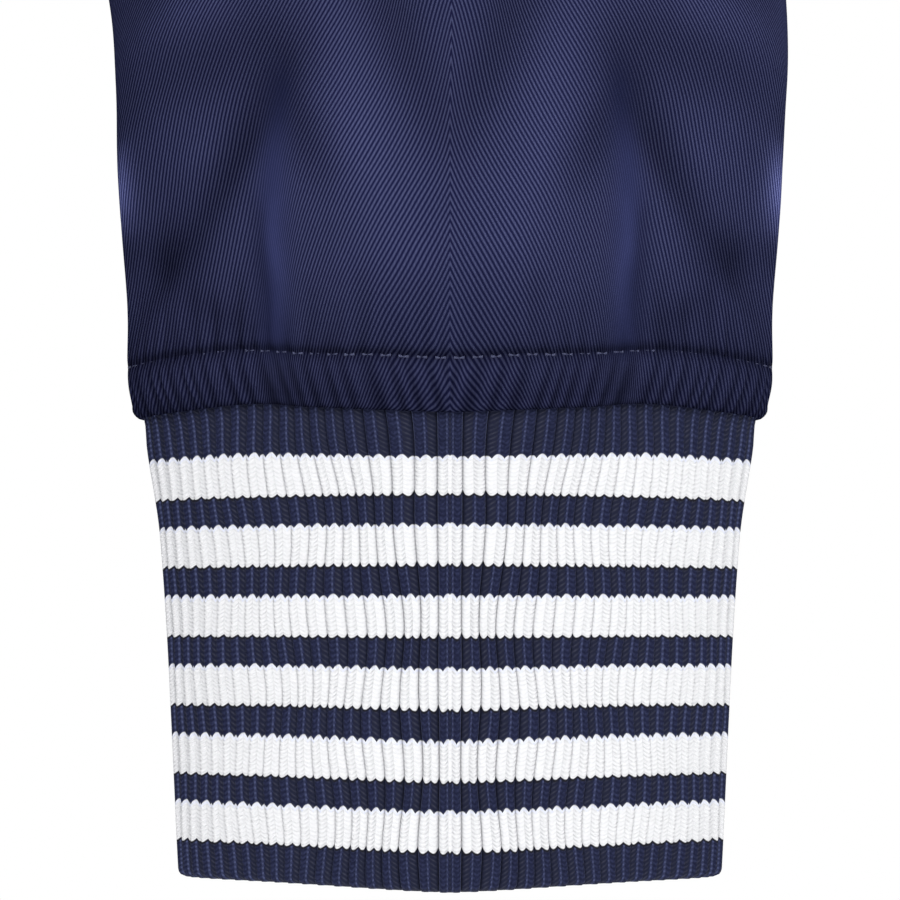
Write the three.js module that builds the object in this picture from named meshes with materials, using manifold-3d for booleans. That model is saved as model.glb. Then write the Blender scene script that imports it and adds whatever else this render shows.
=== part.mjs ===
// A zip-front track jacket, filled out as if worn, with knitted rib cuffs, hem and collar.
// Millimetres, +Z up. The front faces -Y and the wearer's left is at +X. The origin lies midway between
// the two neck points of the shoulder seams, where the wearer's shoulders hold the jacket up.
import * as THREE from "three";
import { mergeVertices } from "three/addons/utils/BufferGeometryUtils.js";
import Module from "manifold-3d";

const wasm = await Module();
wasm.setup();

// ---------------------------------------------------------------- driving sizes

const SEAM_GAP = 0.3; // between two pieces at a seam
const TWILL_WALL = 1.2;
const RIB_WALL = 2.6; // knitted double
const TAPE_WALL = 1.0;
const ZIP_EDGE = 9; // from the centre front to the folded edge of each front
const QUARTER_ARC = 0.5523; // handle length that makes a cubic curve a quarter ellipse

const HEM_SEAM_Z = -615;
const HEM_BOTTOM_Z = -680;
const UNDERARM = { x: 207, z: -245 };
const SHOULDER_POINT = { x: 219, z: -46 };
const NECK_POINT = { x: 75, z: 0 };
const ARMHOLE_HOLLOW = 24; // how far the armhole curves inward

const CUFF_LENGTH = 70;
const SLEEVE_SEAM_Z = -598;
const CUFF_BOTTOM_Z = SLEEVE_SEAM_Z - CUFF_LENGTH;

// Heights of the body and how far it reaches there: to the side, forwards and backwards. Above the
// underarm these are the reaches before the shoulder rounds them off.
const TORSO = [
  { z: HEM_BOTTOM_Z, side: 172, front: 119, back: 113 },
  { z: HEM_SEAM_Z, side: 187, front: 133, back: 127 },
  { z: -585, side: 199, front: 143, back: 135 },
  { z: -540, side: 203, front: 146, back: 137 },
  { z: -450, side: 204, front: 144, back: 130 },
  { z: -340, side: 206, front: 141, back: 127 },
  { z: UNDERARM.z, side: UNDERARM.x, front: 137, back: 131 },
  { z: -180, side: 211, front: 129, back: 131 },
  { z: -130, side: 217, front: 115, back: 125 },
  { z: -80, side: 226, front: 97, back: 113 },
  { z: -15, side: 238, front: 80, back: 97 },
  { z: 30, side: 246, front: 76, back: 84 },
];
const BODY_ROUNDNESS = 2.4; // 2 would make each level section an ellipse
// How far below the shoulder seam the shoulder starts to round over, and how far the seam sags.
const SHOULDER = { roundAtNeck: 150, roundAtPoint: 82, sag: 4 };
// The neckline and the collar's top edge, at the centre front, the side and the centre back.
const NECKLINE = { frontZ: -80, backZ: -15 };
const COLLAR_TOP = { frontY: -75, frontZ: -20, sideX: 64, sideY: -4, sideZ: 46, backY: 55, backZ: 44 };

// Sleeve sections below the cap: centre, half width, half depth, and how lens-like the section is
// (1 is an ellipse, 1.5 a pressed lens).
const SLEEVE = [
  { z: -300, x: 270, y: 1, halfWidth: 57, halfDepth: 69, lens: 1 },
  { z: -360, x: 283, y: 3, halfWidth: 57.5, halfDepth: 66, lens: 1 },
  { z: -430, x: 298, y: 1, halfWidth: 57, halfDepth: 61, lens: 1 },
  { z: -490, x: 311, y: -10, halfWidth: 55.5, halfDepth: 55, lens: 1.05 },
  { z: -535, x: 319.6, y: -18, halfWidth: 52.6, halfDepth: 47, lens: 1.1 },
  { z: -563, x: 320, y: -20, halfWidth: 50.8, halfDepth: 40, lens: 1.2 },
  { z: -585, x: 320, y: -20, halfWidth: 49.4, halfDepth: 32.5, lens: 1.3 },
  { z: -594, x: 320, y: -20, halfWidth: 48.7, halfDepth: 29, lens: 1.4 },
  { z: SLEEVE_SEAM_Z, x: 320, y: -20, halfWidth: 47.4, halfDepth: 25.5, lens: 1.45 },
];
// Cuff sections, from the seam down.
const CUFF = [
  { z: SLEEVE_SEAM_Z, halfWidth: 47, halfDepth: 24.4 },
  { z: -602.5, halfWidth: 45.9, halfDepth: 23.6 },
  { z: -618, halfWidth: 44, halfDepth: 23.1 },
  { z: CUFF_BOTTOM_Z, halfWidth: 41.1, halfDepth: 22.4 },
];
const CUFF_LENS = 1.5;

// The largest folds of a sleeve: each runs from one point to another, given by the angle round the arm
// (0 towards the body, 90 front, 180 outside, 270 back) and the height. A trough has a negative depth.
const SLEEVE_FOLDS = [
  { fromDeg: 54, fromZ: -553, toDeg: 14, toZ: -580, depth: -2.6, width: 9 },
  { fromDeg: 126, fromZ: -553, toDeg: 166, toZ: -580, depth: -2.6, width: 9 },
  { fromDeg: 70, fromZ: -528, toDeg: 90, toZ: -560, depth: -1.6, width: 8 },
  { fromDeg: 110, fromZ: -528, toDeg: 90, toZ: -560, depth: -1.6, width: 8 },
  { fromDeg: 232, fromZ: -540, toDeg: 262, toZ: -578, depth: -3.0, width: 10 },
  { fromDeg: 308, fromZ: -548, toDeg: 280, toZ: -572, depth: -2.6, width: 9 },
  { fromDeg: 40, fromZ: -395, toDeg: 88, toZ: -440, depth: -4.5, width: 13 },
  { fromDeg: 30, fromZ: -440, toDeg: 70, toZ: -470, depth: -4.0, width: 11 },
  { fromDeg: 315, fromZ: -450, toDeg: 268, toZ: -492, depth: -3.5, width: 12 },
  { fromDeg: 50, fromZ: -270, toDeg: 112, toZ: -335, depth: -4.5, width: 14 },
  { fromDeg: 305, fromZ: -265, toDeg: 250, toZ: -330, depth: -4.5, width: 14 },
];
// The largest folds of the body, by the distance from the centre line and the height.
const BODY_FOLDS = [
  { side: "front", fromX: 192, fromZ: -262, toX: 118, toZ: -345, depth: -6.5, width: 20 },
  { side: "front", fromX: 178, fromZ: -180, toX: 128, toZ: -245, depth: -4.0, width: 18 },
  { side: "front", fromX: 196, fromZ: -470, toX: 118, toZ: -520, depth: -6.0, width: 18 },
  { side: "front", fromX: 150, fromZ: -595, toX: 112, toZ: -540, depth: -5.5, width: 15 },
  { side: "front", fromX: 70, fromZ: -600, toX: 46, toZ: -520, depth: -5.0, width: 16 },
  { side: "back", fromX: 186, fromZ: -235, toX: 124, toZ: -330, depth: -6.5, width: 20 },
  { side: "back", fromX: 12, fromZ: -455, toX: 88, toZ: -492, depth: -5.0, width: 18 },
  { side: "back", fromX: 180, fromZ: -500, toX: 96, toZ: -548, depth: -6.0, width: 18 },
  { side: "back", fromX: 62, fromZ: -600, toX: 40, toZ: -545, depth: -5.0, width: 16 },
  { side: "back", fromX: 136, fromZ: -602, toX: 150, toZ: -560, depth: -4.5, width: 14 },
];

// The zip: its slider rides at the top of the closed chain, on the collar.
const ZIP = { tapeInner: 0.3, tapeOuter: 13, tapeGap: 0.9, chainDepth: 2.4, endDrop: 2 };
const ZIP_BOX = { width: 8, depth: 2.2, height: 12 };
const SLIDER = { width: 10.5, height: 13, plate: 1.5, post: 3, drop: 12, gap: 0.35 };
const BRIDGE = { width: 2.4, bar: 1.3, clear: 2.6, span: 7.6 };
const PULL = { width: 7, length: 27, thickness: 1.5, windowWidth: 3.6, windowLength: 6.4, barRadius: 0.75 };

// Numbers of faces: across a front, across the back, round a sleeve and a cuff, and up each part.
const FACES = { front: 8, back: 14, sleeveRound: 22, armhole: 11, shoulder: 5, cap: 5 };
const RIB_FACES = { round: 17, hem: 2, collar: 3 };
// Heights of the rows of points, on the body below the armholes and on a sleeve below its cap.
const BODY_ZS = [HEM_SEAM_Z, -602, -585, -562, -530, -490, -445, -395, -345, -300, -267, -250, UNDERARM.z];
const SLEEVE_ZS = [
  -300, -345, -385, -412, -438, -468, -498, -525, -545, -560, -573, -584, -592, SLEEVE_SEAM_Z,
];

// ---------------------------------------------------------------- small tools

const lerp = (a, b, t) => a + (b - a) * t;
const vec = (x, y, z) => new THREE.Vector3(x, y, z);
const range = (n) => Array.from({ length: n + 1 }, (_, i) => i / n);

// A smooth curve through one column of a table whose rows are ordered by z.
function along(table, column, z) {
  const rows = table[0].z < table[table.length - 1].z ? table : [...table].reverse();
  const last = rows.length - 1;
  const clamped = Math.min(Math.max(z, rows[0].z), rows[last].z);
  let i = 0;
  while (i < last - 1 && clamped > rows[i + 1].z) i += 1;
  const slope = (k) => {
    const lower = rows[Math.max(k - 1, 0)];
    const upper = rows[Math.min(k + 1, last)];
    return (upper[column] - lower[column]) / (upper.z - lower.z);
  };
  const height = rows[i + 1].z - rows[i].z;
  const t = (clamped - rows[i].z) / height;
  const blend = t * t * (3 - 2 * t);
  const rise = height * (t * (1 - t) ** 2 * slope(i) - t * t * (1 - t) * slope(i + 1));
  return lerp(rows[i][column], rows[i + 1][column], blend) + rise;
}

// How far a fold moves the cloth at a point, both in the same flat coordinates.
function foldDepth(point, from, to, depth, width) {
  const run = to.clone().sub(from);
  const t = THREE.MathUtils.clamp(point.clone().sub(from).dot(run) / run.lengthSq(), 0, 1);
  const away = point.distanceTo(from.clone().addScaledVector(run, t));
  return depth * Math.exp(-((away / width) ** 2)) * (0.55 + 0.45 * Math.sin(Math.PI * t));
}

// A cubic curve of points.
function cubic(p, t) {
  const s = 1 - t;
  return vec(0, 0, 0)
    .addScaledVector(p[0], s * s * s)
    .addScaledVector(p[1], 3 * s * s * t)
    .addScaledVector(p[2], 3 * s * t * t)
    .addScaledVector(p[3], t * t * t);
}

// The outward normal of a surface function at (u, v), pointing away from the inside point.
function normalAt(surface, u, v, turned) {
  const step = 1e-3;
  const across = surface(u + step, v).sub(surface(u - step, v));
  const up = surface(u, Math.min(v + step, 1)).sub(surface(u, Math.max(v - step, 0)));
  return across.cross(up).normalize().multiplyScalar(turned ? -1 : 1);
}

// A closed wall between two grids of points with equal rows and columns. A looped wall is a tube.
function wall(outer, inner, looped) {
  const rows = outer.length;
  const cols = outer[0].length;
  const positions = [...outer.flat(), ...inner.flat()].flatMap((p) => p.toArray());
  const at = (layer, r, c) => layer * rows * cols + r * cols + (c % cols);
  const index = [];
  const quad = (a, b, c, d) => index.push(a, b, c, a, c, d);
  const spans = looped ? cols : cols - 1;
  for (let r = 0; r < rows - 1; r += 1) {
    for (let c = 0; c < spans; c += 1) {
      quad(at(0, r, c), at(0, r, c + 1), at(0, r + 1, c + 1), at(0, r + 1, c));
      quad(at(1, r, c), at(1, r + 1, c), at(1, r + 1, c + 1), at(1, r, c + 1));
    }
  }
  for (let c = 0; c < spans; c += 1) {
    quad(at(0, 0, c), at(1, 0, c), at(1, 0, c + 1), at(0, 0, c + 1));
    quad(at(0, rows - 1, c), at(0, rows - 1, c + 1), at(1, rows - 1, c + 1), at(1, rows - 1, c));
  }
  for (let r = 0; r < rows - 1 && !looped; r += 1) {
    quad(at(0, r, 0), at(0, r + 1, 0), at(1, r + 1, 0), at(1, r, 0));
    quad(at(0, r, cols - 1), at(1, r, cols - 1), at(1, r + 1, cols - 1), at(0, r + 1, cols - 1));
  }
  const geometry = new THREE.BufferGeometry();
  geometry.setAttribute("position", new THREE.Float32BufferAttribute(positions, 3));
  geometry.setIndex(index);
  return facingOut(geometry);
}

// Reverses the faces of a closed geometry that is inside out.
function facingOut(geometry) {
  const p = geometry.getAttribute("position");
  const index = geometry.getIndex().array;
  const corner = (k) => new THREE.Vector3().fromBufferAttribute(p, index[k]);
  let volume = 0;
  for (let i = 0; i < index.length; i += 3) {
    volume += corner(i).dot(corner(i + 1).cross(corner(i + 2)));
  }
  if (volume < 0) geometry.setIndex([...index].reverse());
  geometry.computeVertexNormals();
  return geometry;
}

// Moves the points of a grid apart along the surface normals, to give the inner face of a wall.
function innerFace(surface, us, vs, thickness, turned) {
  return vs.map((v) => us.map((u) => surface(u, v).addScaledVector(normalAt(surface, u, v, turned), -thickness)));
}

function mirrored(geometry) {
  const copy = geometry.clone().scale(-1, 1, 1);
  copy.setIndex([...copy.getIndex().array].reverse());
  copy.computeVertexNormals();
  return copy;
}

// ---------------------------------------------------------------- the body's form

// The panels' rows are counted by v: side seam up to UNDER_V, armhole up to TOP_V, then the shoulder seam.
const BODY_SPANS = BODY_ZS.length - 1;
const BODY_ROWS = BODY_SPANS + FACES.armhole + FACES.shoulder;
const UNDER_V = BODY_SPANS / BODY_ROWS;
const TOP_V = (BODY_SPANS + FACES.armhole) / BODY_ROWS;

// The height of the shoulder seam, out from the neck. It runs on past the neck as a straight line.
function shoulderSeam(x) {
  const t = (x - NECK_POINT.x) / (SHOULDER_POINT.x - NECK_POINT.x);
  return lerp(NECK_POINT.z, SHOULDER_POINT.z, t) - SHOULDER.sag * Math.sin(Math.PI * THREE.MathUtils.clamp(t, 0, 1));
}

// A point of the body's outer face, given its place as seen from the front and which face it is on.
function bodyPoint(x, z, forward) {
  const out = Math.min(x / along(TORSO, "side", z), 1);
  const t = (x - NECK_POINT.x) / (SHOULDER_POINT.x - NECK_POINT.x);
  const rounding = lerp(SHOULDER.roundAtNeck, SHOULDER.roundAtPoint, THREE.MathUtils.clamp(t, 0, 1));
  const below = THREE.MathUtils.clamp((shoulderSeam(x) - z) / rounding, 0, 1);
  const section = Math.sqrt(Math.max(0, 1 - out ** BODY_ROUNDNESS));
  const over = Math.sqrt(1 - (1 - below) ** 2);
  const reach = along(TORSO, forward ? "front" : "back", z) * section * over;
  return vec(x, forward ? -reach : reach, z);
}

// The armhole, at an angle from the underarm (0) over the front (or back) to the shoulder point (pi).
function armhole(angle) {
  const rise = (1 - Math.cos(angle)) / 2;
  const inward = ARMHOLE_HOLLOW * Math.sin(angle) ** 2 * (1 - 0.5 * rise ** 2);
  const x = lerp(UNDERARM.x, SHOULDER_POINT.x, rise) - inward;
  return bodyPoint(x, lerp(UNDERARM.z, SHOULDER_POINT.z, rise), Math.sin(angle) >= 0);
}

// The angle of each row of points that ends on the armhole, for the panels and the sleeve alike. It
// slows down at the underarm (part 0 and 1) and at the shoulder point (part 0.5).
function armholeAngle(part) {
  const half = Math.PI * THREE.MathUtils.smoothstep(part <= 0.5 ? 2 * part : 2 - 2 * part, 0, 1);
  return part <= 0.5 ? half : 2 * Math.PI - half;
}

// A height read off a list of row heights, part of the way (0 to 1) along the list.
function rowHeight(heights, part) {
  const place = THREE.MathUtils.clamp(part, 0, 1) * (heights.length - 1);
  const k = Math.min(Math.floor(place), heights.length - 2);
  return lerp(heights[k], heights[k + 1], place - k);
}

// The edge of a panel away from the centre line.
function panelEdge(v, forward) {
  if (v <= UNDER_V) {
    const z = rowHeight(BODY_ZS, v / UNDER_V);
    return vec(along(TORSO, "side", z), 0, z);
  }
  if (v <= TOP_V) {
    const t = (v - UNDER_V) / (TOP_V - UNDER_V);
    return armhole(armholeAngle(forward ? t / 2 : 1 - t / 2));
  }
  const t = ((v - TOP_V) / (1 - TOP_V)) ** 1.6;
  const x = lerp(SHOULDER_POINT.x, NECK_POINT.x, t);
  return vec(x, 0, shoulderSeam(x));
}

// A point of a front or back panel, from its centre line (u = 0) to its outer edge (u = 1). The points
// draw closer together at the outer edge, where the cloth turns away.
function panelForm(u, v, forward, startX) {
  const edge = panelEdge(v, forward);
  const topZ = forward ? NECKLINE.frontZ : NECKLINE.backZ;
  const upper = Math.max(0, (v - UNDER_V) / (1 - UNDER_V));
  const centreZ = v <= UNDER_V ? rowHeight(BODY_ZS, v / UNDER_V) : lerp(UNDERARM.z, topZ, upper);
  const start = vec(startX, 0, centreZ);
  const lead = vec((edge.x - startX) * QUARTER_ARC, 0, 0);
  const end = vec(edge.x, 0, edge.z);
  const flat = cubic([start, start.clone().add(lead), end, end], THREE.MathUtils.clamp(u, 0, 1));
  return bodyPoint(flat.x, flat.z, forward);
}

// The same point with the body's folds, which fade out towards the panel's edges.
function panelSurface(forward, startX) {
  const side = forward ? "front" : "back";
  const plain = (u, v) => panelForm(u, v, forward, startX);
  return (u, v) => {
    const p = plain(u, v);
    const inside = Math.max(0, 1 - Math.abs(2 * u - 1) ** 6) * Math.min(1, Math.max(0, v) * 12);
    const flat = new THREE.Vector2(p.x, p.z);
    let depth = 0;
    for (const f of BODY_FOLDS.filter((fold) => fold.side === side)) {
      const from = new THREE.Vector2(f.fromX, f.fromZ);
      const to = new THREE.Vector2(f.toX, f.toZ);
      depth += foldDepth(flat, from, to, f.depth, f.width);
    }
    return p.addScaledVector(normalAt(plain, u, v, !forward), depth * inside);
  };
}

// Draws the outer edge and the bottom row of a grid back from their seams by half the gap.
function openSeams(grid, cols) {
  const half = SEAM_GAP / 2;
  const pull = (p, towards) => p.addScaledVector(towards.clone().sub(p).normalize(), half);
  for (const row of grid) {
    for (const c of cols) pull(row[c], row[c === 0 ? 1 : c - 1]);
  }
  const top = grid.length - 1;
  grid[top].forEach((p, c) => pull(p, grid[top - 1][c]));
  grid[0].forEach((p, c) => pull(p, grid[1][c]));
  return grid;
}

function frontPanel() {
  const surface = panelSurface(true, ZIP_EDGE);
  const us = range(FACES.front);
  const vs = range(BODY_ROWS);
  const outer = vs.map((v) => us.map((u) => surface(u, v)));
  const inner = innerFace(surface, us, vs, TWILL_WALL, false);
  const last = us.length - 1;
  return wall(openSeams(outer, [last]), openSeams(inner, [last]), false);
}

function backPanel() {
  const half = panelSurface(false, 0);
  const surface = (s, v) => {
    const p = half(Math.abs(s), v);
    return s < 0 ? p.multiply(vec(-1, 1, 1)) : p;
  };
  const us = range(FACES.back).map((t) => 2 * t - 1);
  const vs = range(BODY_ROWS);
  const outer = vs.map((v) => us.map((u) => surface(u, v)));
  const inner = innerFace(surface, us, vs, TWILL_WALL, true);
  const last = us.length - 1;
  return wall(openSeams(outer, [0, last]), openSeams(inner, [0, last]), false);
}

// ---------------------------------------------------------------- rib hem and collar

// Half of a band that runs from the zip's edge round the side to the centre back. s goes from 0 at the
// centre front to 1 at the centre back, and each quarter is a rounded corner.
function bandHalf(front, side, back) {
  return (s) => {
    if (s <= 0.5) {
      const lead = vec((side.x - front.x) * QUARTER_ARC, 0, 0);
      const trail = vec(0, (side.y - front.y) * QUARTER_ARC, 0);
      return cubic([front, front.clone().add(lead), side.clone().sub(trail), side], 2 * s);
    }
    const lead = vec(0, (back.y - side.y) * QUARTER_ARC, 0);
    const trail = vec(side.x * QUARTER_ARC, 0, 0);
    return cubic([side, side.clone().add(lead), back.clone().add(trail), back], 2 * s - 1);
  };
}

// Half of a panels' edge, the hem line (v = 0) or the neckline (v = 1), moved up or down by a gap.
function panelEnd(v, gap) {
  return (s) => {
    const p = s <= 0.5 ? panelForm(2 * s, v, true, ZIP_EDGE) : panelForm(2 - 2 * s, v, false, 0);
    return p.add(vec(0, 0, gap));
  };
}

// A whole band between two edges, open at the zip. Each edge is a function of s from bandHalf.
function band(lowerEdge, upperEdge, rows) {
  const surface = (a, v) => {
    const s = Math.min(Math.abs(a), 1);
    const p = lowerEdge(1 - s).lerp(upperEdge(1 - s), v);
    return a < 0 ? p.multiply(vec(-1, 1, 1)) : p;
  };
  const as = range(2 * RIB_FACES.round).map((t) => 2 * t - 1);
  const vs = range(rows);
  const outer = vs.map((v) => as.map((a) => surface(a, v)));
  const inner = vs.map((v) =>
    as.map((a) => {
      const near = THREE.MathUtils.clamp(a, -0.998, 0.998);
      return surface(a, v).addScaledVector(normalAt(surface, near, v, true), -RIB_WALL);
    }),
  );
  return wall(outer, inner, false);
}

function hemBand() {
  const z = HEM_BOTTOM_Z;
  const bottom = (s) => {
    const top = panelEnd(0, 0)(s);
    const towards = s <= 0.5 ? "front" : "back";
    const wide = along(TORSO, "side", z) / along(TORSO, "side", HEM_SEAM_Z);
    const deep = along(TORSO, towards, z) / along(TORSO, towards, HEM_SEAM_Z);
    return vec(ZIP_EDGE + (top.x - ZIP_EDGE) * wide, top.y * deep, z);
  };
  return band(bottom, panelEnd(0, -SEAM_GAP), RIB_FACES.hem);
}

function collar() {
  const upper = bandHalf(
    vec(ZIP_EDGE, COLLAR_TOP.frontY, COLLAR_TOP.frontZ),
    vec(COLLAR_TOP.sideX, COLLAR_TOP.sideY, COLLAR_TOP.sideZ),
    vec(0, COLLAR_TOP.backY, COLLAR_TOP.backZ),
  );
  return band(panelEnd(1, SEAM_GAP), upper, RIB_FACES.collar);
}

// ---------------------------------------------------------------- sleeves and cuffs

function sectionPoint(centre, halfWidth, halfDepth, lens, angle, z) {
  const s = Math.sin(angle);
  return vec(
    centre.x - halfWidth * Math.cos(angle),
    centre.y - halfDepth * Math.sign(s) * Math.abs(s) ** lens,
    z,
  );
}

function sleeveRing(angle, z) {
  const centre = { x: along(SLEEVE, "x", z), y: along(SLEEVE, "y", z) };
  const halfWidth = along(SLEEVE, "halfWidth", z);
  const halfDepth = along(SLEEVE, "halfDepth", z);
  return sectionPoint(centre, halfWidth, halfDepth, along(SLEEVE, "lens", z), angle, z);
}

// The sleeve's form: the cap (v from 0 to CAP_V) turns from the armhole to the first section.
const SLEEVE_ROWS = FACES.cap + SLEEVE_ZS.length - 1;
const CAP_V = FACES.cap / SLEEVE_ROWS;

function sleeveForm(a, v) {
  const angle = a * 2 * Math.PI;
  if (v >= CAP_V) {
    return sleeveRing(angle, rowHeight(SLEEVE_ZS, (v - CAP_V) / (1 - CAP_V)));
  }
  const t = v / CAP_V;
  const start = armhole(armholeAngle(THREE.MathUtils.euclideanModulo(a, 1))).add(vec(1.5 * SEAM_GAP, 0, 0));
  const end = sleeveRing(angle, SLEEVE_ZS[0]);
  const top = (1 - Math.cos(angle)) / 2;
  const reach = start.distanceTo(end);
  const leave = vec(1, -0.25 * Math.sin(angle), lerp(-0.6, -0.3, top)).normalize();
  const arrive = end.clone().sub(sleeveRing(angle, SLEEVE_ZS[0] - 20)).normalize().negate();
  const out = start.clone().addScaledVector(leave, (reach * lerp(0.3, 0.27, top)) / 1.5);
  const back = end.clone().addScaledVector(arrive, -reach / 3);
  return cubic([start, out, back, end], t);
}

function sleeveSurface(a, v) {
  const p = sleeveForm(a, v);
  const deg = THREE.MathUtils.euclideanModulo(a, 1) * 360;
  const girth = 0.9; // millimetres of cloth for each degree round the arm
  let depth = 0;
  for (const f of SLEEVE_FOLDS) {
    const here = new THREE.Vector2(deg * girth, p.z);
    const from = new THREE.Vector2(f.fromDeg * girth, f.fromZ);
    const to = new THREE.Vector2(f.toDeg * girth, f.toZ);
    depth += foldDepth(here, from, to, f.depth, f.width);
  }
  const fade = Math.min(1, Math.max(0, (v - 0.1) * 8), Math.max(0, (p.z - SLEEVE_SEAM_Z) / 12));
  return p.addScaledVector(normalAt(sleeveForm, a, v, true), depth * fade);
}

function sleeve() {
  const as = range(FACES.sleeveRound).slice(0, -1);
  const vs = range(SLEEVE_ROWS);
  const outer = vs.map((v) => as.map((a) => sleeveSurface(a, v)));
  const inner = innerFace(sleeveSurface, as, vs, TWILL_WALL, true);
  return wall(outer, inner, true);
}

function cuff() {
  const centre = { x: along(SLEEVE, "x", SLEEVE_SEAM_Z), y: along(SLEEVE, "y", SLEEVE_SEAM_Z) };
  const top = SLEEVE_SEAM_Z - SEAM_GAP;
  const zs = [top, ...CUFF.slice(1, -1).map((row) => row.z), CUFF_BOTTOM_Z];
  const ring = (z, thickness) =>
    range(FACES.sleeveRound)
      .slice(0, -1)
      .map((t) => {
        const halfWidth = along(CUFF, "halfWidth", z) - thickness;
        const halfDepth = along(CUFF, "halfDepth", z) - thickness;
        return sectionPoint(centre, halfWidth, halfDepth, CUFF_LENS, t * 2 * Math.PI, z);
      });
  return wall(
    zs.map((z) => ring(z, 0)),
    zs.map((z) => ring(z, RIB_WALL)),
    true,
  );
}

// ---------------------------------------------------------------- the zip

// The centre front line of the jacket's outer face, from the hem's bottom to the collar's top.
function centreFront(z) {
  const seam = NECKLINE.frontZ;
  if (z <= seam) return bodyPoint(ZIP_EDGE, z, true).y;
  return lerp(bodyPoint(ZIP_EDGE, seam, true).y, COLLAR_TOP.frontY, (z - seam) / (COLLAR_TOP.frontZ - seam));
}

// How far behind the outer face the tapes lie: deeper behind the thicker ribs.
function tapeDepth(z) {
  const intoRib = Math.max(HEM_SEAM_Z + 14 - z, z - (NECKLINE.frontZ - 16)) / 12;
  const wallHere = lerp(TWILL_WALL, RIB_WALL, THREE.MathUtils.clamp(intoRib, 0, 1));
  return wallHere + ZIP.tapeGap;
}

// A point behind the centre front line, at a depth square to it, and the line's lean.
function behindFront(z, depth) {
  const step = 1;
  const lean = Math.atan2(centreFront(z + step) - centreFront(z - step), 2 * step);
  return { y: centreFront(z) + depth * Math.cos(lean), z: z - depth * Math.sin(lean), lean };
}

const TAPE_TOP_Z = COLLAR_TOP.frontZ - ZIP.endDrop;
const TAPE_BOTTOM_Z = HEM_BOTTOM_Z + ZIP.endDrop;
const SLIDER_Z = TAPE_TOP_Z - SLIDER.drop;

function zipTape() {
  const seamZ = NECKLINE.frontZ;
  const chestZs = range(6).map((t) => lerp(UNDERARM.z, seamZ - 5, t));
  const zs = [TAPE_BOTTOM_Z, -640, ...BODY_ZS.slice(0, -1), ...chestZs, seamZ + 5, seamZ + 20, TAPE_TOP_Z];
  const face = (extra) =>
    zs.map((z) => {
      const p = behindFront(z, tapeDepth(z) + extra);
      return [vec(ZIP.tapeInner, p.y, p.z), vec(ZIP.tapeOuter, p.y, p.z)];
    });
  const strip = solid(wall(face(0), face(TAPE_WALL), false));
  const room = SLIDER.post + 2 * SLIDER.gap;
  const at = behindFront(SLIDER_Z, tapeDepth(SLIDER_Z));
  const notch = new THREE.BoxGeometry(room, 12, room).rotateX(-at.lean).translate(0, at.y, at.z);
  return geometryOf(strip.subtract(solid(notch)));
}

// A closed geometry as a solid for cuts and joins, and back.
function solid(geometry) {
  const bare = geometry.clone();
  bare.deleteAttribute("normal");
  bare.deleteAttribute("uv");
  const merged = mergeVertices(bare, 1e-4);
  return new wasm.Manifold(
    new wasm.Mesh({
      numProp: 3,
      vertProperties: new Float32Array(merged.getAttribute("position").array),
      triVerts: new Uint32Array(merged.getIndex().array),
    }),
  );
}

function geometryOf(made) {
  const mesh = made.getMesh();
  const geometry = new THREE.BufferGeometry();
  geometry.setAttribute("position", new THREE.BufferAttribute(mesh.vertProperties, 3));
  geometry.setIndex(new THREE.BufferAttribute(mesh.triVerts, 1));
  geometry.computeVertexNormals();
  return geometry;
}

const block = (width, depth, height, x, y, z) => new THREE.BoxGeometry(width, depth, height).translate(x, y, z);

// The slider stands on the tapes' front face: local +Z runs up the zip and -Y points away from the body.
function slider() {
  const front = -(ZIP.chainDepth + SLIDER.gap + SLIDER.plate / 2);
  const rear = TAPE_WALL + SLIDER.gap + SLIDER.plate / 2;
  const postDepth = rear - front;
  const bridgeOut = front - SLIDER.plate / 2 - BRIDGE.clear - BRIDGE.bar / 2;
  const legDepth = front - bridgeOut + BRIDGE.bar / 2;
  const legY = (front + bridgeOut - BRIDGE.bar / 2) / 2;
  const legZ = (BRIDGE.span + BRIDGE.bar) / 2;
  const pieces = [
    block(SLIDER.width, SLIDER.plate, SLIDER.height, 0, front, 0),
    block(SLIDER.width, SLIDER.plate, SLIDER.height, 0, rear, 0),
    block(SLIDER.post, postDepth, SLIDER.post, 0, (front + rear) / 2, 0),
    block(BRIDGE.width, BRIDGE.bar, BRIDGE.span + 2 * BRIDGE.bar, 0, bridgeOut, 0),
    block(BRIDGE.width, legDepth, BRIDGE.bar, 0, legY, legZ),
    block(BRIDGE.width, legDepth, BRIDGE.bar, 0, legY, -legZ),
  ];
  return geometryOf(pieces.map(solid).reduce((all, piece) => all.add(piece)));
}

// The pull tab hangs on its bar, which lies under the slider's bridge at the origin of this piece.
function pullTab() {
  const side = (PULL.width - PULL.windowWidth) / 2;
  const sideX = (PULL.windowWidth + side) / 2;
  const plateTop = -PULL.windowLength;
  const plateLength = PULL.length - PULL.windowLength;
  const t = PULL.thickness;
  const bar = new THREE.CylinderGeometry(PULL.barRadius, PULL.barRadius, PULL.width, 12).rotateZ(Math.PI / 2);
  const pieces = [
    block(side, t, PULL.windowLength + 0.4, sideX, 0, plateTop / 2 - 0.2),
    block(side, t, PULL.windowLength + 0.4, -sideX, 0, plateTop / 2 - 0.2),
    block(PULL.width, t, plateLength, 0, 0, plateTop - plateLength / 2),
    bar,
  ];
  return geometryOf(pieces.map(solid).reduce((all, piece) => all.add(piece)));
}

// ---------------------------------------------------------------- the jacket

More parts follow.
